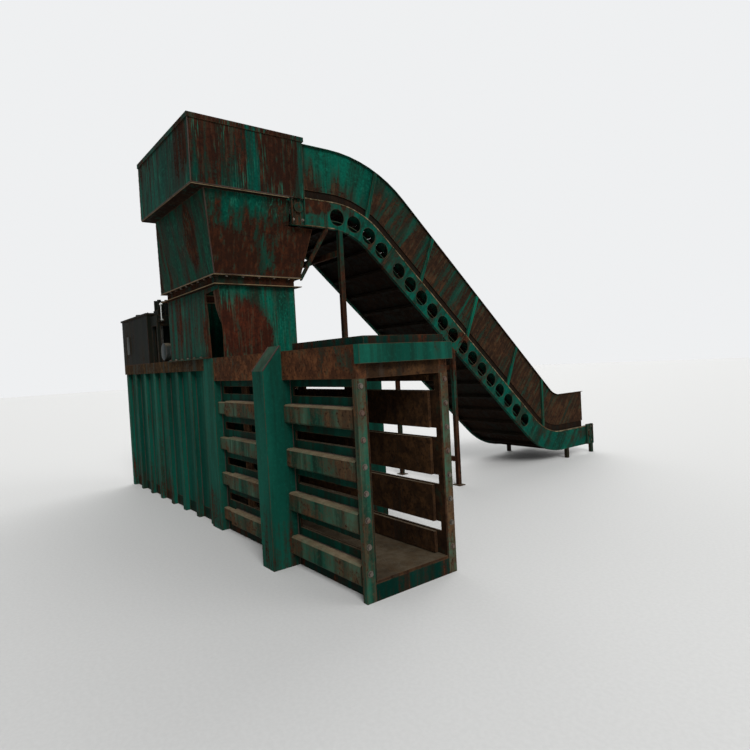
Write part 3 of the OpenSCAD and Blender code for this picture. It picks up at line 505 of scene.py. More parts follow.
    def surface(self, g: ShaderGraph, p: Patterns, rusted: Socket, settled: Socket) -> None:
        """Set the roughness, the gloss and the relief.

        Args:
            g: The material's graph.
            p: Its patterns.
            rusted: The rust's mask.
            settled: The dust's mask.
        """
        rough = g.math("ADD", g.math("MULTIPLY", rusted, 0.84 - self.sheen), self.sheen)
        rough = g.math("ADD", rough, g.math("MULTIPLY", p.flake, 0.12))
        rough = g.math("ADD", rough, g.math("MULTIPLY", settled, 0.1))
        g.plug(rough, g.shader.inputs["Roughness"])
        g.shader.inputs["Specular IOR Level"].default_value = PAINT_GLOSS
        relief = g.bump(g.noise(g.place, DENTS, 1.0), self.dents, 0.03)
        crust = g.math("ADD", g.math("MULTIPLY", p.flake, 0.7), 0.5)
        crust = g.math("MULTIPLY", crust, rusted)
        crust = g.math("ADD", crust, g.math("MULTIPLY", p.specks, 0.16))
        g.plug(g.bump(crust, 0.45, 0.004, relief), g.shader.inputs["Normal"])

    def bias(self, g: ShaderGraph, ragged: Socket) -> Socket:
        """Work out how much more rust each place has.

        Args:
            g: The material's graph.
            ragged: The pattern that makes a blot's outline uneven.

        Returns:
            The value added to the rust pattern.
        """
        height = g.axis(g.place, "Z")
        total = g.step(height, self.low_z, self.high_z, -self.low_bias)
        total = g.math("ADD", total, g.step(height, self.low_z, self.high_z, self.runs_up))
        for letter, weight in zip("XYZ", self.face_bias):
            if weight:
                facing = g.math("MULTIPLY", g.axis(g.normal, letter), weight)
                total = g.math("ADD", total, facing)
        for centre, half, weight in self.blots:
            reach = g.math("ADD", g.away(centre, half), ragged)
            total = g.math("ADD", total, g.step(reach, 3.0, 2.2, weight))
        return total

    def settled(self, g: ShaderGraph, patches: Socket) -> Socket:
        """Find where dust lies: on level faces and along the thin lips.

        Args:
            g: The material's graph.
            patches: The pattern that thins the dust.

        Returns:
            The dust mask.
        """
        facing = g.axis(g.normal, "Z")
        up = g.step(facing, 0.45, 0.9, self.dust_cover)
        mask = g.math("MULTIPLY", up, g.step(patches, 0.12, 0.56))
        height = g.axis(g.place, "Z")
        for low, high in self.lip_levels:
            above, below = g.math("GREATER_THAN", height, low), g.math("LESS_THAN", height, high)
            inside = g.math("MULTIPLY", above, below)
            inside = g.math("MULTIPLY", inside, g.math("GREATER_THAN", facing, -0.5))
            inside = g.math("MULTIPLY", inside, g.step(patches, 0.3, 0.5, 0.85))
            mask = g.math("MAXIMUM", mask, inside)
        return mask


@dataclass(frozen=True)
class WorkedMetal:
    """Bare steel: turned, ground or worn bright by use, with grease and small scratches."""

    name: str
    tone: Tone = (118, 116, 112)
    grease: Tone = (44, 38, 33)
    grease_cover: float = 0.4
    roughness: float = 0.4
    grain: Point = (60.0, 60.0, 60.0)

    def material(self) -> bpy.types.Material:
        """Build the finish.

        Returns:
            The finished material.
        """
        g = ShaderGraph(self.name)
        scratch = g.noise(g.stretched(self.grain), 1.0, 5.0, 0.7)
        film = g.noise(g.place, 5.0, 5.0, 0.6)
        limit = 0.68 - 0.3 * self.grease_cover
        greasy = g.step(film, limit - 0.05, limit + 0.06)
        colour = g.blend(greasy, linear(self.tone), linear(self.grease))
        g.plug(colour, g.shader.inputs["Base Color"])
        g.plug(g.step(greasy, 1.4, -0.4), g.shader.inputs["Metallic"])
        rough = g.math("ADD", g.math("MULTIPLY", scratch, 0.3), self.roughness - 0.12)
        rough = g.math("ADD", rough, g.math("MULTIPLY", greasy, 0.25))
        g.plug(rough, g.shader.inputs["Roughness"])
        g.plug(g.bump(scratch, 0.2, 0.001), g.shader.inputs["Normal"])
        return g.material


class Coat(Enum):
    """The finishes of the machine."""

    GREEN = WeatheredPaint("green_plate", rust_cover=0.36)
    POST_GREEN = WeatheredPaint(
        "post_green", paint=(8, 54, 44), faded=(17, 73, 60), rust_cover=0.33, grime=0.42,
        low_z=0.0, high_z=0.7, low_bias=0.05)
    DEEP_GREEN = WeatheredPaint(
        "deep_green_plate", paint=(2, 30, 24), faded=(4, 42, 35), rust_cover=0.38)
    NEAR_WALL = WeatheredPaint(
        "near_channel_wall", paint=(3, 38, 30), faded=(6, 50, 40), rust=(32, 22, 15),
        fresh_rust=(55, 37, 23), rust_cover=0.58, streaks=(3.0, 3.0, 2.0), fine=(14.0, 14.0, 9.0),
        face_bias=(0.0, 0.09, 0.0))
    FAR_WALL = replace(NEAR_WALL, name="far_channel_wall", face_bias=(0.0, -0.09, 0.0))
    RIBS = WeatheredPaint(
        "rib_plate", paint=(24, 66, 52), faded=(58, 84, 67), rust=(62, 48, 35),
        fresh_rust=(84, 62, 42), dust=(132, 118, 96), rust_cover=0.42, dust_cover=0.95,
        streaks=(5.0, 8.0, 3.0), patches=2.6)
    BEAMS = WeatheredPaint(
        "beam_plate", paint=(4, 43, 35), faded=(10, 56, 45), rust=(58, 37, 25),
        fresh_rust=(98, 62, 39), dust=(138, 122, 98), rust_cover=0.62, patches=2.2,
        streaks=(3.0, 5.0, 2.0), fine=(16.0, 16.0, 10.0))
    DECK = WeatheredPaint(
        "dusty_deck", paint=(34, 44, 38), faded=(52, 56, 46), rust=(42, 31, 20),
        fresh_rust=(74, 55, 33), dust=(140, 124, 100), rust_cover=0.55, dust_cover=0.9)
    CHUTE_SIDE = WeatheredPaint(
        "chute_side", mottle=0.8, rust=(42, 24, 16), fresh_rust=(74, 37, 23), rust_cover=0.37,
        streaks=(10.0, 10.0, 0.4), drips=0.5,
        blots=(((0.56, -0.42, 1.95), (0.20, 0.2, 0.30), 0.10),))
    CHUTE_END = WeatheredPaint(
        "chute_end", mottle=0.8, paint=(3, 56, 45), faded=(4, 73, 58), rust=(44, 22, 15),
        fresh_rust=(72, 35, 22), rust_cover=0.26, streaks=(16.0, 16.0, 0.4), drips=0.5,
        blots=(((0.75, -0.22, 1.90), (0.3, 0.30, 0.40), 0.20),))
    BAND = WeatheredPaint(
        "band_plate", paint=(4, 42, 32), faded=(31, 46, 35), dust=(118, 103, 80), rust_cover=0.55,
        dust_cover=0.9, lip_levels=((2.439, 2.449), (2.527, 2.537)))
    # Side panels' paint, darker and more saturated than the exit panel's: partly their own paint,
    # partly painted shade for the faces turned from the light.
    SHADED_FLARE_SIDE = WeatheredPaint(
        "flare_side_paint_and_shade", mottle=0.8, paint=(2, 43, 32), faded=(4, 54, 40), rust_cover=0.31,
        streaks=(12.0, 12.0, 0.4), drips=0.35,
        blots=(((0.42, -0.53, 2.95), (0.13, 0.3, 0.33), 0.11),
               ((-0.72, -0.50, 2.85), (0.10, 0.3, 0.30), 0.08)))
    FLARE_END = WeatheredPaint(
        "flare_end", mottle=0.8, paint=(3, 51, 41), faded=(5, 68, 54), rust=(37, 21, 14),
        fresh_rust=(64, 34, 20), rust_cover=0.50, streaks=(15.0, 15.0, 0.4), drips=0.8,
        drip_zone=(2.86, 3.06), low_z=2.95, high_z=3.28, low_bias=0.05,
        blots=(((0.83, -0.35, 2.70), (0.3, 0.30, 0.22), 0.10),
               ((0.83, 0.42, 2.80), (0.3, 0.22, 0.30), 0.13)))
    LEDGE = WeatheredPaint(
        "ledge_plate", rust=(30, 20, 14), fresh_rust=(46, 30, 20), rust_cover=0.6,
        dust=(118, 104, 82), dust_cover=0.9, lip_levels=((3.289, 3.303),))
    BOX = WeatheredPaint(
        "box_plate", mottle=0.8, paint=(2, 48, 39), faded=(4, 62, 51), rust=(33, 19, 13),
        fresh_rust=(58, 32, 21), rust_cover=0.26, streaks=(20.0, 20.0, 0.5), drips=0.6,
        face_bias=(0.058, 0.0, 0.0), dents=0.4, low_z=3.3, high_z=3.9, runs_up=0.03,
        blots=(((0.80, -0.73, 3.62), (0.22, 0.06, 0.34), 0.08),
               ((1.03, -0.12, 3.60), (0.1, 0.09, 0.5), -0.08),
               ((1.03, 0.18, 3.60), (0.1, 0.16, 0.30), 0.07)))
    GIRDER = WeatheredPaint(
        "girder_plate", mottle=0.5, paint=(3, 56, 46), faded=(5, 72, 58), rust_cover=0.30,
        streaks=(7.0, 5.0, 3.0), fine=(20.0, 20.0, 8.0), bend=UPPER_BEND,
        blots=(((0.98, 0.42, 3.28), (0.2, 0.34, 0.10), 0.16),))
    SKIRT = WeatheredPaint(
        "skirt_sheet", mottle=0.7, paint=(3, 53, 42), faded=(5, 69, 55), rust=(36, 25, 18),
        fresh_rust=(64, 43, 28), rust_cover=0.60, low_z=3.35, high_z=3.85, low_bias=0.12,
        dents=0.45, bend=UPPER_BEND, streaks=(5.0, 5.0, 0.3), run_share=0.5)
    RIB_GREEN = WeatheredPaint(
        "skirt_rib_paint", paint=(3, 61, 49), faded=(5, 81, 63), rust_cover=0.2)
    SLATS = WeatheredPaint(
        "slat_steel", paint=(36, 31, 27), faded=(54, 46, 38), rust=(40, 27, 17),
        fresh_rust=(67, 44, 27), rust_cover=0.55, dust_cover=0.4, dents=0.05,
        streaks=(0.5, 9.0, 9.0), run_share=0.46)
    # Near-black pan with its inner side plates under the skirts: grime, and painted shade for the
    # dark recess between rail and skirt.
    PAN = WeatheredPaint(
        "grime_and_shade_pan", paint=(15, 16, 13), faded=(23, 22, 18), rust=(24, 17, 12),
        fresh_rust=(38, 26, 18), rust_cover=0.55, dust_cover=0.3, edge=(30, 22, 16))
    LEG = WeatheredPaint("conveyor_leg_paint", rust_cover=0.56, streaks=(9.0, 9.0, 1.0))
    BARE_RUST = WeatheredPaint(
        "rusted_bare_plate", paint=(40, 33, 28), faded=(58, 48, 40), rust=(42, 29, 19),
        fresh_rust=(70, 48, 29), rust_cover=0.65, fine=(14.0, 14.0, 9.0))
    BLACK = WeatheredPaint(
        "dusty_black", paint=(13, 15, 15), faded=(24, 26, 25), rust=(30, 23, 16),
        fresh_rust=(49, 37, 24), rust_cover=0.26, dust_cover=0.6, dents=0.1)
    GREY = WeatheredPaint(
        "dusty_grey", paint=(62, 68, 70), faded=(86, 90, 89), rust=(46, 35, 24),
        fresh_rust=(70, 53, 34), rust_cover=0.2, dust_cover=0.6, dents=0.05)
    # Tan beads on the rail edges: worn paint, and a painted highlight where the lips catch the
    # light.
    TAN_EDGE = WeatheredPaint(
        "worn_and_highlit_rail_edge", paint=(132, 118, 92), faded=(112, 102, 80), rust=(65, 52, 33),
        fresh_rust=(88, 70, 44), rust_cover=0.4, dents=0.0)
    TORN = WeatheredPaint(
        "torn_sheet", paint=(70, 50, 36), faded=(92, 68, 49), rust=(46, 30, 21),
        fresh_rust=(80, 51, 34), rust_cover=0.6, dust_cover=0.4, dents=0.6)
    STEEL = WorkedMetal("worn_steel")
    BOLTS = WorkedMetal(
        "dull_fasteners", tone=(96, 90, 82), grease=(70, 50, 38), grease_cover=0.6, roughness=0.5)
    PIPE = WorkedMetal(
        "dull_pipe", tone=(74, 73, 69), grease=(34, 29, 25), grease_cover=0.55, roughness=0.5)
    CHROME = WorkedMetal("ground_rod", tone=(200, 202, 206), grease_cover=0.12, roughness=0.18)
    WELD = WorkedMetal(
        "weld_bead", tone=(60, 46, 37), grease=(44, 28, 21), grease_cover=0.7, roughness=0.55)

    def material(self) -> bpy.types.Material:
        """Give the finish's material, built once."""
        found = bpy.data.materials.get(self.value.name)
        return found or self.value.material()


def dress(coat: Coat, *nodes: str) -> None:
    """Give CAD nodes their finish.

    Args:
        coat: The finish.
        nodes: Names of the nodes that have it.
    """
    material = coat.material()
    for name in nodes:
        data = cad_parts[name].data
        data.materials.clear()
        data.materials.append(material)
        LOG.info("%s: %s", name, coat.value.name)


def add_object(name: str, data: bpy.types.ID) -> bpy.types.Object:
    """Make an object and put it in the scene.

    Args:
        name: The object's name.
        data: Its mesh, lamp or camera.

    Returns:
        The object.
    """
    made = bpy.data.objects.new(name, data)
    bpy.context.scene.collection.objects.link(made)
    return made


def plain_piece(source: bpy.types.Object, name: str) -> bpy.types.Object:
    """Turn a source object with its modifiers into a piece with a plain mesh.

    Args:
        source: The object with the modifiers, which is removed.
        name: The piece's name.

    Returns:
        The piece.
    """
    evaluated = source.evaluated_get(bpy.context.evaluated_depsgraph_get())
    mesh = bpy.data.meshes.new_from_object(evaluated)
    bpy.data.objects.remove(source)
    LOG.info("%s: %d faces", name, len(mesh.polygons))
    return add_object(name, mesh)


class RepeatTree:
    """A Geometry Nodes tree with named inputs, used through a modifier."""

    def __init__(self, name: str) -> None:
        """Start the tree.

        Args:
            name: The tree's name.
        """
        self.tree = bpy.data.node_groups.new(name, "GeometryNodeTree")
        self.socket("Geometry", "Geometry", "OUTPUT")
        self.socket("Geometry", "Geometry")
        self.entry = self.tree.nodes.new("NodeGroupInput")
        self.exit = self.tree.nodes.new("NodeGroupOutput")

    def socket(self, name: str, kind: str, way: str = "INPUT") -> bpy.types.ID:
        """Add an input or output of the tree.

        Args:
            name: Its name.
            kind: Geometry, Float or Material.
            way: INPUT or OUTPUT.

        Returns:
            The new socket's description.
        """
        return self.tree.interface.new_socket(name=name, in_out=way,
                                              socket_type="NodeSocket" + kind)

    def number(self, name: str, value: float) -> None:
        """Add a size input.

        Args:
            name: The input's name.
            value: Its usual value in metres.
        """
        self.socket(name, "Float").default_value = value

    def finish_input(self) -> None:
        """Add the input for the material."""
        self.socket("Finish", "Material")

    def add(self, kind: str, **values: object) -> bpy.types.Node:
        """Add a node and fill its inputs.

        Args:
            kind: Blender's name of the node.
            values: Input names, with spaces as underscores, and what goes into them.

        Returns:
            The node.
        """
        node = self.tree.nodes.new(kind)
        for key, value in values.items():
            socket = node.inputs[key.replace("_", " ")]
            if isinstance(value, Socket):
                self.tree.links.new(value, socket)
            else:
                socket.default_value = value
        return node

    def close(self, geometry: Socket) -> None:
        """End the tree in real geometry with its finish.

        Args:
            geometry: What the tree has made.
        """
        real = self.add("GeometryNodeRealizeInstances", Geometry=geometry)
        painted = self.add("GeometryNodeSetMaterial", Geometry=real.outputs[0],
                           Material=self.entry.outputs["Finish"])
        self.tree.links.new(painted.outputs[0], self.exit.inputs[0])

    def run(self, source: bpy.types.Object, name: str, coat: Coat, body: str,
            **sizes: float) -> None:
        """Make a piece from a source mesh and let it ride on a body.

        Args:
            source: The points or lines that the tree works on.
            name: The piece's name.
            coat: Its finish.
            body: The body that carries it.
            sizes: Values for the named inputs, with spaces in the names as underscores.
        """
        modifier = source.modifiers.new("repeat", "NODES")
        modifier.node_group = self.tree
        values = {key.replace("_", " "): value for key, value in sizes.items()}
        for item in self.tree.interface.items_tree:
            if item.in_out == "INPUT" and item.name in values:
                modifier[item.identifier] = values[item.name]
            if item.in_out == "INPUT" and item.name == "Finish":
                modifier[item.identifier] = coat.material()
        piece = plain_piece(source, name)
        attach(piece, body)


def bolt_tree() -> RepeatTree:
    """Make the tree that puts a hexagon bolt head on a washer at every point.

    Returns:
        The tree.
    """
    t = RepeatTree("bolt_heads")
    t.number("Head radius", 0.016)
    t.number("Head height", 0.012)
    t.number("Washer radius", 0.022)
    t.finish_input()
    head = t.add("GeometryNodeMeshCylinder", Vertices=6, Radius=t.entry.outputs["Head radius"],
                 Depth=t.entry.outputs["Head height"])
    half = t.tree.nodes.new("ShaderNodeMath")
    half.operation = "MULTIPLY_ADD"
    t.tree.links.new(t.entry.outputs["Head height"], half.inputs[0])
    half.inputs[1].default_value = 0.5
    half.inputs[2].default_value = WASHER_THICKNESS / 2
    lift = t.add("ShaderNodeCombineXYZ", Z=half.outputs[0])
    raised = t.add("GeometryNodeTransform", Geometry=head.outputs["Mesh"],
                   Translation=lift.outputs[0])
    washer = t.add("GeometryNodeMeshCylinder", Vertices=14,
                   Radius=t.entry.outputs["Washer radius"], Depth=WASHER_THICKNESS)
    both = t.tree.nodes.new("GeometryNodeJoinGeometry")
    t.tree.links.new(raised.outputs[0], both.inputs[0])
    t.tree.links.new(washer.outputs["Mesh"], both.inputs[0])
    facing = t.add("GeometryNodeInputNamedAttribute", Name="facing")
    facing.data_type = "FLOAT_VECTOR"
    aim = t.add("FunctionNodeAlignRotationToVector", Vector=facing.outputs[0])
    aim.axis = "Z"
    spin = t.tree.nodes.new("FunctionNodeRandomValue")
    spin.data_type = "FLOAT_VECTOR"
    spin.inputs[0].default_value = (0.0, 0.0, 0.0)
    spin.inputs[1].default_value = (0.0, 0.0, 1.0)
    spin.inputs["Seed"].default_value = 4
    turn = t.tree.nodes.new("FunctionNodeEulerToRotation")
    t.tree.links.new(spin.outputs[0], turn.inputs[0])
    turned = t.tree.nodes.new("FunctionNodeRotateRotation")
    turned.rotation_space = "LOCAL"
    t.tree.links.new(aim.outputs[0], turned.inputs[0])
    t.tree.links.new(turn.outputs[0], turned.inputs[1])
    placed = t.add("GeometryNodeInstanceOnPoints", Points=t.entry.outputs["Geometry"],
                   Instance=both.outputs[0], Rotation=turned.outputs[0])
    t.close(placed.outputs[0])
    return t


def bead_tree() -> RepeatTree:
    """Make the tree that lays a wavering bead or bar along every line.

    Returns:
        The tree.
    """
    t = RepeatTree("laid_beads")
    t.number("Bead radius", 0.006)
    t.number("Step", 0.012)
    t.number("Waver", 0.0015)
    t.finish_input()
    curve = t.add("GeometryNodeMeshToCurve", Mesh=t.entry.outputs["Geometry"])
    even = t.add("GeometryNodeResampleCurve", Curve=curve.outputs[0])
    even.mode = "LENGTH"
    t.tree.links.new(t.entry.outputs["Step"], even.inputs["Length"])
    shake = t.tree.nodes.new("FunctionNodeRandomValue")
    shake.data_type = "FLOAT_VECTOR"
    shake.inputs[0].default_value = (-1.0, -1.0, -1.0)
    shake.inputs[1].default_value = (1.0, 1.0, 1.0)
    shake.inputs["Seed"].default_value = 7
    amount = t.tree.nodes.new("ShaderNodeVectorMath")
    amount.operation = "SCALE"
    t.tree.links.new(shake.outputs[0], amount.inputs[0])
    t.tree.links.new(t.entry.outputs["Waver"], amount.inputs["Scale"])
    moved = t.add("GeometryNodeSetPosition", Geometry=even.outputs[0], Offset=amount.outputs[0])
    ring = t.add("GeometryNodeCurvePrimitiveCircle", Resolution=6,
                 Radius=t.entry.outputs["Bead radius"])
    tube = t.add("GeometryNodeCurveToMesh", Curve=moved.outputs[0],
                 Profile_Curve=ring.outputs["Curve"], Fill_Caps=True)
    t.close(tube.outputs[0])
    return t


def points_object(points: list[Point], facing: list[Point]) -> bpy.types.Object:
    """Make a mesh of loose points that know which way they face.

    Args:
        points: Places in metres.
        facing: Outward direction at each place.

    Returns:
        The source object for the bolt tree.
    """
    mesh = bpy.data.meshes.new("points")
    mesh.from_pydata(points, [], [])
    layer = mesh.attributes.new("facing", "FLOAT_VECTOR", "POINT")
    for item, direction in zip(layer.data, facing):
        item.vector = direction
    return add_object("points", mesh)


def lines_object(lines: list[list[Point]]) -> bpy.types.Object:
    """Make a mesh of open lines.

    Args:
        lines: Each line's points in metres.

    Returns:
        The source object for the bead tree.
    """
    points: list[Point] = []
    edges: list[tuple[int, int]] = []
    for line in lines:
        first = len(points)
        points += line
        edges += [(first + i, first + i + 1) for i in range(len(line) - 1)]
    mesh = bpy.data.meshes.new("lines")
    mesh.from_pydata(points, edges, [])
    return add_object("lines", mesh)


def sheet_piece(name: str, grid: list[list[Point]], coat: Coat, thickness: float) -> None:
    """Make a bent piece of sheet metal that rides on the frame.

    Args:
        name: The piece's name.
        grid: Rows of points on the middle of the sheet.
        coat: Its finish.
        thickness: The sheet's thickness in metres.
    """
    wide = len(grid[0])
    faces = [(i * wide + j, (i + 1) * wide + j, (i + 1) * wide + j + 1, i * wide + j + 1)
             for i in range(len(grid) - 1) for j in range(wide - 1)]
    mesh = bpy.data.meshes.new(name)
    mesh.from_pydata([point for row in grid for point in row], [], faces)
    mesh.materials.append(coat.material())
    source = add_object("sheet_source", mesh)
    wall = source.modifiers.new("wall", "SOLIDIFY")
    wall.thickness, wall.offset = thickness, 0.0
    piece = plain_piece(source, name)
    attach(piece, "frame")


@dataclass
class Studio:
    """Floor, lamps and the camera at the photograph's place."""

    eye: Point = (5.95, -2.59, 1.62)
    right: Point = (0.612, 0.789, -0.054)
    up: Point = (0.014, 0.058, 0.998)
    back: Point = (0.791, -0.612, 0.024)
    focal: float = 26.98
    film: float = 36.0
    floor_half: float = 60.0
    # Each lamp's name, the direction it shines from, its watts for a square metre and its spread.
    lamps: tuple[tuple[str, Point, float, float], ...] = (
        ("key", (12.0, -4.5, 8.5), 2.3, 25.0), ("fill", (9.0, 8.0, 6.0), 0.6, 40.0),
        ("far_side", (-7.0, 12.0, 7.0), 1.3, 40.0), ("rear", (-12.0, 5.0, 6.5), 0.9, 40.0))

    def build(self) -> None:
        """Make the floor, the lamps, the world and the camera."""
        scene = bpy.context.scene
        scene.view_settings.view_transform = "Standard"
        self.camera(scene)
        self.floor()
        self.world(scene)
        for lamp in self.lamps:
            self.lamp(*lamp)

    def camera(self, scene: bpy.types.Scene) -> None:
        """Put the camera where the photograph was taken.

        Args:
            scene: The scene that uses it.
        """
        data = bpy.data.cameras.new("camera")
        data.lens = self.focal
        data.sensor_width = self.film
        data.clip_end = 300.0
        cam = add_object("camera", data)
        turn = Matrix((self.right, self.up, self.back)).transposed().to_quaternion()
        cam.matrix_world = Matrix.Translation(self.eye) @ turn.to_matrix().to_4x4()
        scene.camera = cam

    def floor(self) -> None:
        """Lay the pale floor."""
        s = self.floor_half
        mesh = bpy.data.meshes.new("floor")
        mesh.from_pydata([(-s, -s, 0), (s, -s, 0), (s, s, 0), (-s, s, 0)], [], [(0, 1, 2, 3)])
        plane = add_object("floor", mesh)
        g = ShaderGraph("floor_pale")
        speck = g.noise(g.place, 40.0, 3.0, 0.6)
        g.plug(g.blend(g.step(speck, 0.3, 0.7), linear((202, 202, 200)), linear((206, 206, 204))),
               g.shader.inputs["Base Color"])
        g.shader.inputs["Roughness"].default_value = 0.9
        mesh.materials.append(g.material)

    def world(self, scene: bpy.types.Scene) -> None:
        """Light the scene evenly and show a pale background.

        Args:
            scene: The scene that is lit.
        """
        world = bpy.data.worlds.new("studio")
        world.use_nodes = True
        nodes, links = world.node_tree.nodes, world.node_tree.links
        nodes.clear()
        out = nodes.new("ShaderNodeOutputWorld")
        soft, shown = nodes.new("ShaderNodeBackground"), nodes.new("ShaderNodeBackground")
        soft.inputs["Color"].default_value = (0.96, 0.97, 1.0, 1.0)
        soft.inputs["Strength"].default_value = 0.42
        shown.inputs["Color"].default_value = (0.86, 0.87, 0.88, 1.0)
        shown.inputs["Strength"].default_value = 1.0
        path, mix = nodes.new("ShaderNodeLightPath"), nodes.new("ShaderNodeMixShader")
        seen = path.outputs["Is Camera Ray"]
        for kind in ("Is Glossy Ray", "Is Transmission Ray"):
            either = nodes.new("ShaderNodeMath")
            either.operation = "MAXIMUM"
            links.new(seen, either.inputs[0])
            links.new(path.outputs[kind], either.inputs[1])
            seen = either.outputs[0]
        links.new(seen, mix.inputs[0])
        links.new(soft.outputs[0], mix.inputs[1])
        links.new(shown.outputs[0], mix.inputs[2])
        links.new(mix.outputs[0], out.inputs["Surface"])
        scene.world = world

    def lamp(self, name: str, place: Point, strength: float, spread: float) -> None:
        """Add a wide soft lamp that lights the whole floor evenly.

        Args:
            name: The lamp's name.
            place: The direction that it shines from.
            strength: Its strength in watts for a square metre.
            spread: How wide it looks, in degrees.
        """
        data = bpy.data.lights.new(name, "SUN")
        data.energy = strength
        data.angle = math.radians(spread)
        lamp = add_object(name, data)
        lamp.matrix_world = Vector(place).to_track_quat("Z", "Y").to_matrix().to_4x4()


@dataclass
class PressBody:
    """The ribbed channel, its posts, the ram and the clamp plates."""

    half_width: float = 0.42
    wall_y: float = 0.35
    outlet_x: float = 2.94
    rib_pitch: float = 0.355
    first_rib_z: float = 1.2375
    rib_height: float = 0.15
    ribs: int = 4
    rib_bays: tuple[Span, ...] = ((0.74, 1.74), (1.93, 2.87))
    body_top: float = 1.74
    beam_depth: float = 0.19
    post_edges: tuple[float, ...] = (1.74, 1.93, 0.51, 0.27)
    cap_edges: Span = (1.742, 1.928)
    cap_reach: float = 0.24
    cap_foot: float = 1.59
    cap_rise: float = 0.045
    stiffeners: int = 8
    stiffener_pitch: float = 3.02 / 7
    stiffener_start: float = -2.85
    stiffener_width: float = 0.08
    stiffener_foot: float = 0.12
    post_weld_foot: float = 0.02
    cap_weld_out: float = 0.012
    flange_bolts_a_side: int = 8
    flange_bolt_pitch: float = 0.18
    flange_bolt_foot: float = 0.2
    flange_bolt_in: float = 0.03

    def build(self, heads: RepeatTree, beads: RepeatTree) -> None:
        """Dress the nodes and add bolts and weld beads.

        Args:
            heads: The bolt tree.
            beads: The bead tree.
        """
        dress(Coat.DEEP_GREEN, "base_frame", "deck_cover", "rear_bulkhead")
        dress(Coat.DECK, "rear_deck")
        dress(Coat.BARE_RUST, "channel_floor", "ceiling", "ram", "ram_follower",
              "near_clamp_plate", "far_clamp_plate")
        dress(Coat.NEAR_WALL, "near_wall")
        dress(Coat.FAR_WALL, "far_wall")
        dress(Coat.RIBS, "near_ribs", "far_ribs")
        dress(Coat.POST_GREEN, "near_rear_plate", "far_rear_plate", "corner_posts",
              "near_clamp_post", "far_clamp_post", "outlet_cross_beam")
        dress(Coat.BEAMS, "near_top_beam", "far_top_beam")
        dress(Coat.STEEL, "fixed_blade", "ram_blade", "clamp_pins")
        dress(Coat.BLACK, "cylinder_barrel", "cylinder_gland", "clamp_cylinders")
        dress(Coat.CHROME, "piston_rod", "near_clamp_rod", "far_clamp_rod")
        beads.run(lines_object(self.rib_welds()), "rib_welds", Coat.WELD, "frame",
                  Waver=WELD_WAVER)
        beads.run(lines_object(self.post_welds()), "post_welds", Coat.WELD, "frame",
                  Waver=WELD_WAVER)
        places = self.flange_bolts()
        heads.run(points_object(places, [(1.0, 0.0, 0.0)] * len(places)), "outlet_flange_bolts",
                  Coat.BOLTS, "frame")

    def rib_welds(self) -> list[list[Point]]:
        """Run a bead along both long edges of every rib, on both sides.

        Returns:
            The lines of the beads.
        """
        lines: list[list[Point]] = []
        for side in (-1.0, 1.0):
            y = side * self.wall_y
            for k in range(self.ribs):
                z = self.first_rib_z - k * self.rib_pitch
                for edge in (-0.5, 0.5):
                    level = z + edge * self.rib_height
                    lines += [[(x0, y, level), (x1, y, level)] for x0, x1 in self.rib_bays]
        return lines

    def post_welds(self) -> list[list[Point]]:
        """Run a bead up the clamp posts, the corner posts and the rear plates' stiffeners.

        Returns:
            The lines of the beads.
        """
        top, foot = self.body_top - self.beam_depth, self.stiffener_foot
        lines: list[list[Point]] = []
        for side in (-1.0, 1.0):
            y = side * self.wall_y
            lines += [[(x, y, self.post_weld_foot), (x, y, top)] for x in self.post_edges]
            for k in range(self.stiffeners):
                start = self.stiffener_start + k * self.stiffener_pitch
                lines += [[(x, y, foot), (x, y, top)]
                          for x in (start, start + self.stiffener_width)]
            outer = side * (self.wall_y + self.cap_reach)
            inner = side * (self.half_width + self.cap_weld_out)
            lines += [[(x, outer, self.cap_foot), (x, inner, self.body_top + self.cap_rise)]
                      for x in self.cap_edges]
        return lines

    def flange_bolts(self) -> list[Point]:
        """Place the bolts down both outlet flanges.

        Returns:
            Their places on the flange's outer face.
        """
        y = self.half_width - self.flange_bolt_in
        return [(self.outlet_x, side * y, self.flange_bolt_foot + self.flange_bolt_pitch * k)
                for side in (-1.0, 1.0) for k in range(self.flange_bolts_a_side)]


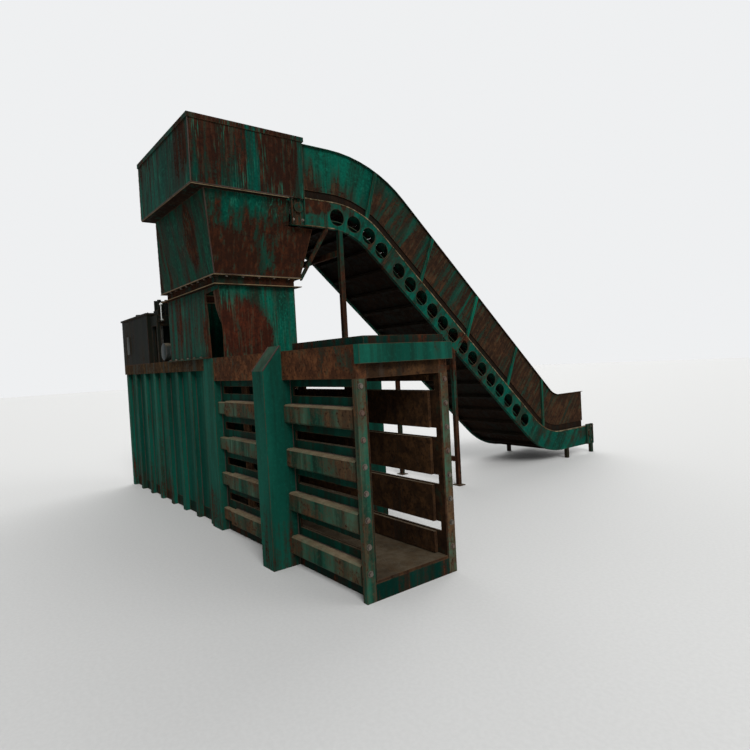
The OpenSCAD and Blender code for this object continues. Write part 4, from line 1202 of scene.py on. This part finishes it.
@dataclass
class Hopper:
    """Charge chute, channel ring, flare and upper box.

    The `torn` sizes are the strip's in the chute's open corner, each edge as X above and below.
    The `slit` sizes are the closing plate's beside the flare, its ends as X and Z.
    """

    half_length: float = 0.75
    half_width: float = 0.42
    band_low: float = 2.44
    band_high: float = 2.536
    box_exit: float = 1.03
    box_near: float = 0.73
    box_rear: float = 0.50
    box_far: float = 0.44
    rim_z: float = 3.91
    flare_low: Point = (0.80, 0.47, 2.536)
    flare_exit_high: Point = (0.968, -0.593, 3.29)
    flare_rear_high: Point = (-0.446, -0.593, 3.29)
    box_foot: float = 3.303
    torn_top: float = 2.43
    torn_length: float = 0.56
    torn_left: Span = (0.585, 0.675)
    torn_right: Span = (0.735, 0.700)
    torn_gap: float = 0.0097
    torn_curl: float = 0.11
    slit_low: Span = (0.914, 3.045)
    slit_high: Span = (0.966, 3.284)
    slit_y: Span = (0.252, 0.297)
    slit_swell: float = 0.003
    weld_proud: float = 0.001
    foot_weld_end: float = 0.3
    foot_bolt_start: float = -0.70
    foot_bolt_pitch: float = 0.19
    foot_bolts_a_side: int = 6
    foot_bolt_out: float = 0.022
    foot_bolt_z: float = 1.752
    band_bolt_pitch: float = 0.17
    band_bolts_along: int = 4
    band_bolts_across: int = 2
    band_lip_out: float = 0.034
    band_lip_t: float = 0.008

    def build(self, heads: RepeatTree, beads: RepeatTree) -> None:
        """Dress the nodes and add bolts and weld beads.

        Args:
            heads: The bolt tree.
            beads: The bead tree.
        """
        dress(Coat.CHUTE_SIDE, "chute_near_panel", "chute_far_panel")
        dress(Coat.CHUTE_END, "chute_end_panels")
        dress(Coat.BAND, "hopper_band")
        dress(Coat.SHADED_FLARE_SIDE, "flare_near_panel", "flare_rear_panel", "flare_far_panel")
        dress(Coat.FLARE_END, "flare_exit_panel")
        dress(Coat.LEDGE, "hopper_ledge")
        dress(Coat.BOX, "hopper_box")
        self.torn_strip()
        self.head_closer()
        beads.run(lines_object(self.corner_welds()), "hopper_corner_welds", Coat.WELD, "frame",
                  Waver=WELD_WAVER)
        places, facing = self.band_bolts()
        heads.run(points_object(places, facing), "hopper_band_bolts", Coat.BOLTS, "frame",
                  Head_radius=0.013, Head_height=0.01, Washer_radius=0.019)
        feet = self.foot_bolts()
        heads.run(points_object(feet, [UP] * len(feet)), "chute_foot_bolts", Coat.BOLTS,
                  "frame", Head_radius=0.011, Head_height=0.009, Washer_radius=0.016)

    def torn_strip(self) -> None:
        """Hang the torn and curled strip of sheet in the open corner of the chute."""
        rows, columns = 24, 6
        grid: list[list[Point]] = []
        for i in range(rows + 1):
            t = i / rows
            (left, left_end), (right, right_end) = self.torn_left, self.torn_right
            left += (left_end - left) * t + 0.007 * math.sin(17 * t)
            right += (right_end - right) * t + 0.005 * math.sin(23 * t + 1)
            curl = self.torn_gap + self.torn_curl * t * t + 0.012 * t * math.sin(11 * t)
            row: list[Point] = []
            for j in range(columns + 1):
                u = j / columns
                inward = curl + 0.05 * t * (u - 0.4) ** 2
                row.append((left + (right - left) * u, -self.half_width + inward,
                            self.torn_top - self.torn_length * t - 0.03 * t * u))
            grid.append(row)
        sheet_piece("torn_corner_strip", grid, Coat.TORN, 0.003)

    def head_closer(self) -> None:
        """Close the slit between the flare's outlet panel and the conveyor's near girder."""
        (x0, z0), (x1, z1) = self.slit_low, self.slit_high
        rows, columns = 14, 4
        grid: list[list[Point]] = []
        for i in range(rows + 1):
            t = i / rows
            swell = self.slit_swell * math.sin(math.pi * t)
            grid.append([(x0 + (x1 - x0) * t + swell * math.sin(math.pi * j / columns),
                          self.slit_y[0] + (self.slit_y[1] - self.slit_y[0]) * j / columns,
                          z0 + (z1 - z0) * t) for j in range(columns + 1)])
        sheet_piece("head_closing_plate", grid, Coat.FLARE_END, 0.004)

    def corner_welds(self) -> list[list[Point]]:
        """Run a bead up the near corners of the flare and round the upper box's foot.

        Returns:
            The lines of the beads.
        """
        x, y, z = self.flare_low
        corners = [[(x, -y, z), self.flare_exit_high], [(-x, -y, z), self.flare_rear_high]]
        x, y, z = x + self.weld_proud, y + self.weld_proud, self.band_high + 2 * self.weld_proud
        neck = [(x, y, z), (x, -y, z), (-x, -y, z), (-x, y, z)]
        z = self.box_foot
        foot = [(-self.box_rear, self.box_far, z), (-self.box_rear, -self.box_near, z),
                (self.box_exit, -self.box_near, z), (self.box_exit, self.foot_weld_end, z)]
        upright = [[(x, -self.box_near, z), (x, -self.box_near, self.rim_z)]
                   for x in (-self.box_rear, self.box_exit)]
        x, y = self.half_length + self.weld_proud, self.half_width + self.weld_proud
        z = self.band_low + self.band_lip_t
        ring = [(x, y, z), (x, -y, z), (-x, -y, z), (-x, y, z)]
        return [*corners, foot, ring, neck, *upright]

    def foot_bolts(self) -> list[Point]:
        """Place the bolts that hold the chute's long flanges down on the press.

        Returns:
            Their places on the flanges.
        """
        y = self.half_width + self.foot_bolt_out
        return [(self.foot_bolt_start + self.foot_bolt_pitch * k, side * y, self.foot_bolt_z)
                for side in (-1.0, 1.0) for k in range(self.foot_bolts_a_side)]

    def band_bolts(self) -> tuple[list[Point], list[Point]]:
        """Place bolts through the ring's lower lip, heads down.

        Returns:
            Their places and outward directions.
        """
        places: list[Point] = []
        x, y = self.half_length + self.band_lip_out, self.half_width + self.band_lip_out
        z = self.band_high - self.band_lip_t
        for k in range(-self.band_bolts_along, self.band_bolts_along + 1):
            along = self.band_bolt_pitch * k
            places += [(along, -y, z), (along, y, z)]
        for k in range(-self.band_bolts_across, self.band_bolts_across + 1):
            across = self.band_bolt_pitch * k
            places += [(x, across, z), (-x, across, z)]
        return places, [DOWN] * len(places)


@dataclass
class Conveyor:
    """Girders, skirts, slat chain, shafts, drive and legs of the feed conveyor."""

    near_x: float = 0.982
    far_x: float = -0.168
    rail_z: float = 3.33
    level_end: float = UPPER_BEND[0]
    bend_r: float = UPPER_BEND[2]
    foot_r: float = 0.90
    foot_z: float = 0.43
    foot_len: float = 0.86
    slope: float = CONVEYOR_SLOPE
    head_start: float = 0.30
    girder_h: float = 0.285
    shaft_drop: float = 0.11685
    chain_r: float = 0.07
    slat_t: float = 0.006
    slats: int = 114
    slat_bolts_x: tuple[float, ...] = (-0.45, -0.38, 0.38, 0.45)
    head_y: float = 0.37
    tail_in: float = 0.14
    bearing_bolts_y: Span = (-0.056, 0.056)
    bearing_bolts_z: Span = (-0.12, 0.10)
    bearing_out: float = 0.008
    edge_in: float = 0.004
    pan_drop: float = -0.2437
    pan_start: float = 0.71
    pan_short: float = 0.34
    seam_in: float = 0.0236

    def __post_init__(self) -> None:
        """Work out where the lower bend lies."""
        drop = self.rail_z - self.bend_r * (1 - math.cos(self.slope)) - self.foot_z
        drop -= self.foot_r * (1 - math.cos(self.slope))
        self.incline = drop / math.sin(self.slope)
        self.foot_y = (self.level_end + self.bend_r * math.sin(self.slope)
                       + drop / math.tan(self.slope) + self.foot_r * math.sin(self.slope))

    def run_line(self, x: float, off: float, steps: int = 14) -> list[Point]:
        """Follow the conveyor's rail from head to loading end.

        Args:
            x: Plane of the line.
            off: Distance from the rail, positive above it.
            steps: Points in each bend.

        Returns:
            The line's points.
        """
        line = [(x, self.head_start, self.rail_z + off)]
        for i in range(steps + 1):
            a = self.slope * i / steps
            line.append((x, self.level_end + (self.bend_r + off) * math.sin(a),
                         self.rail_z - self.bend_r + (self.bend_r + off) * math.cos(a)))
        for i in range(steps + 1):
            a = self.slope * (1 - i / steps)
            line.append((x, self.foot_y - (self.foot_r - off) * math.sin(a),
                         self.foot_z + self.foot_r - (self.foot_r - off) * math.cos(a)))
        line.append((x, self.foot_y + self.foot_len, self.foot_z + off))
        return line

    def pan_line(self, x: float) -> list[Point]:
        """Follow the pan's lower edge along a girder's web.

        Args:
            x: Plane of the line.

        Returns:
            The line's points.
        """
        bends = self.run_line(x, self.pan_drop)[1:-1]
        return [(x, self.pan_start, self.rail_z + self.pan_drop), *bends,
                (x, self.foot_y + self.foot_len - self.pan_short, self.foot_z + self.pan_drop)]

    def build(self, heads: RepeatTree, beads: RepeatTree) -> None:
        """Dress the nodes and add the tan rail beads, worn paint with a painted highlight, the
        pan's edge strips and the bolts.

        Args:
            heads: The bolt tree.
            beads: The bead tree.
        """
        dress(Coat.GIRDER, "near_girder", "far_girder")
        dress(Coat.SKIRT, "near_skirt", "far_skirt")
        dress(Coat.RIB_GREEN, "skirt_ribs")
        dress(Coat.PAN, "conveyor_pan")
        dress(Coat.SLATS, "slat_chain")
        dress(Coat.STEEL, "head_shaft", "tail_shaft")
        dress(Coat.GREEN, "shaft_bearings")
        dress(Coat.GREY, "conveyor_drive")
        dress(Coat.LEG, "conveyor_legs")
        sides = (self.near_x, self.far_x)
        # Tan beads along the rails and, at the head, the girders' lower edges: worn paint, and a
        # painted highlight of the lit lips.
        rails = [self.run_line(x, -self.edge_in) for x in sides]
        rails += [self.run_line(x, self.edge_in - self.girder_h)[:3] for x in sides]
        beads.run(lines_object(rails), "rail_edges", Coat.TAN_EDGE, "frame",
                  Bead_radius=0.007, Step=0.04, Waver=0.0008)
        # Strips along the pan's lower edge, in the same near-black finish of grime and painted
        # shade.
        seams = [self.pan_line(self.near_x - self.seam_in),
                 self.pan_line(self.far_x + self.seam_in)]
        beads.run(lines_object(seams), "pan_edge_strips", Coat.PAN, "frame",
                  Bead_radius=0.011, Step=0.04, Waver=0.0)
        places, facing = self.slat_bolts()
        heads.run(points_object(places, facing), "slat_bolts", Coat.BOLTS, "frame",
                  Head_radius=0.009, Head_height=0.004, Washer_radius=0.013)
        places, facing = self.bearing_bolts()
        heads.run(points_object(places, facing), "bearing_bolts", Coat.BOLTS, "frame",
                  Head_radius=0.012, Head_height=0.01, Washer_radius=0.017)

    def run_place(self, s: float, off: float) -> tuple[float, float, float]:
        """Find a point of the run.

        Args:
            s: Distance from the start of the upper bend.
            off: Distance from the rail, positive above it.

        Returns:
            Its Y and Z, and the slope of the run there.
        """
        upper = (self.bend_r + off) * self.slope
        lower = (self.foot_r - off) * self.slope
        if s < 0:
            return self.level_end + s, self.rail_z + off, 0.0
        if s < upper:
            a = s / upper * self.slope
            return (self.level_end + (self.bend_r + off) * math.sin(a),
                    self.rail_z - self.bend_r + (self.bend_r + off) * math.cos(a), a)
        if s < upper + self.incline:
            d, sin, cos = s - upper, math.sin(self.slope), math.cos(self.slope)
            return (self.level_end + (self.bend_r + off) * sin + d * cos,
                    self.rail_z - self.bend_r + (self.bend_r + off) * cos - d * sin, self.slope)
        if s < upper + self.incline + lower:
            a = self.slope * (1 - (s - upper - self.incline) / lower)
            return (self.foot_y - (self.foot_r - off) * math.sin(a),
                    self.foot_z + self.foot_r - (self.foot_r - off) * math.cos(a), a)
        return self.foot_y + s - upper - self.incline - lower, self.foot_z + off, 0.0

    def slat_bolts(self) -> tuple[list[Point], list[Point]]:
        """Place two flat bolts at each end of every slat on the upper side of the chain.

        Returns:
            Their places and outward directions.
        """
        off = self.chain_r - self.shaft_drop
        level = self.level_end - self.head_y
        top = level + (self.bend_r + off) * self.slope + self.incline
        top += (self.foot_r - off) * self.slope
        top += self.foot_len - self.tail_in
        loop = 2 * (top + math.pi * self.chain_r)
        places: list[Point] = []
        facing: list[Point] = []
        middle = (self.near_x + self.far_x) / 2
        for i in range(self.slats):
            s = loop * (i + 0.5) / self.slats
            if s > top:
                break
            y, z, a = self.run_place(s - level, off + self.slat_t)
            for x in self.slat_bolts_x:
                places.append((middle + x, y, z))
                facing.append((0.0, math.sin(a), math.cos(a)))
        return places, facing

    def bearing_bolts(self) -> tuple[list[Point], list[Point]]:
        """Place four bolts on each shaft bearing.

        Returns:
            Their places and outward directions.
        """
        places: list[Point] = []
        facing: list[Point] = []
        shafts = ((self.head_y, self.rail_z - self.shaft_drop),
                  (self.foot_y + self.foot_len - self.tail_in, self.foot_z - self.shaft_drop))
        for y, z in shafts:
            for x, way in ((self.near_x + self.bearing_out, 1.0),
                           (self.far_x - self.bearing_out, -1.0)):
                for dy in self.bearing_bolts_y:
                    for dz in self.bearing_bolts_z:
                        places.append((x, y + dy, z + dz))
                        facing.append((way, 0.0, 0.0))
        return places, facing


@dataclass
class PowerUnit:
    """Oil tank, pump, motor, valves and pipes on the rear deck."""

    tank_x: Span = (-2.87, -1.63)
    tank_y: Span = (-0.42, 0.30)
    lid_z: float = 2.406
    lid_bolt_in: float = 0.025
    bays_along: int = 7
    bays_across: int = 4

    def build(self, heads: RepeatTree) -> None:
        """Dress the nodes and bolt the tank's lid down.

        Args:
            heads: The bolt tree.
        """
        dress(Coat.BLACK, "oil_tank", "oil_pump", "valve_block")
        dress(Coat.GREY, "tank_fittings", "pump_motor")
        dress(Coat.STEEL, "valve_lever")
        dress(Coat.PIPE, "oil_pipes")
        places = self.lid_bolts()
        heads.run(points_object(places, [UP] * len(places)), "tank_lid_bolts", Coat.BOLTS,
                  "frame", Head_radius=0.009, Head_height=0.007, Washer_radius=0.013)

    def lid_bolts(self) -> list[Point]:
        """Place bolts round the tank's lid.

        Returns:
            Their places on the lid.
        """
        x0, x1 = self.tank_x[0] + self.lid_bolt_in, self.tank_x[1] - self.lid_bolt_in
        y0, y1 = self.tank_y[0] + self.lid_bolt_in, self.tank_y[1] - self.lid_bolt_in
        places: list[Point] = []
        for k in range(self.bays_along + 1):
            x = x0 + (x1 - x0) * k / self.bays_along
            places += [(x, y0, self.lid_z), (x, y1, self.lid_z)]
        for k in range(1, self.bays_across):
            y = y0 + (y1 - y0) * k / self.bays_across
            places += [(x0, y, self.lid_z), (x1, y, self.lid_z)]
        return places


def main() -> None:
    """Build the studio and dress each sub-assembly."""
    logging.basicConfig(level=logging.INFO, format="%(name)s: %(message)s")
    Studio().build()
    heads, beads = bolt_tree(), bead_tree()
    PressBody().build(heads, beads)
    Hopper().build(heads, beads)
    Conveyor().build(heads, beads)
    PowerUnit().build(heads)


if __name__ == "__main__":
    main()
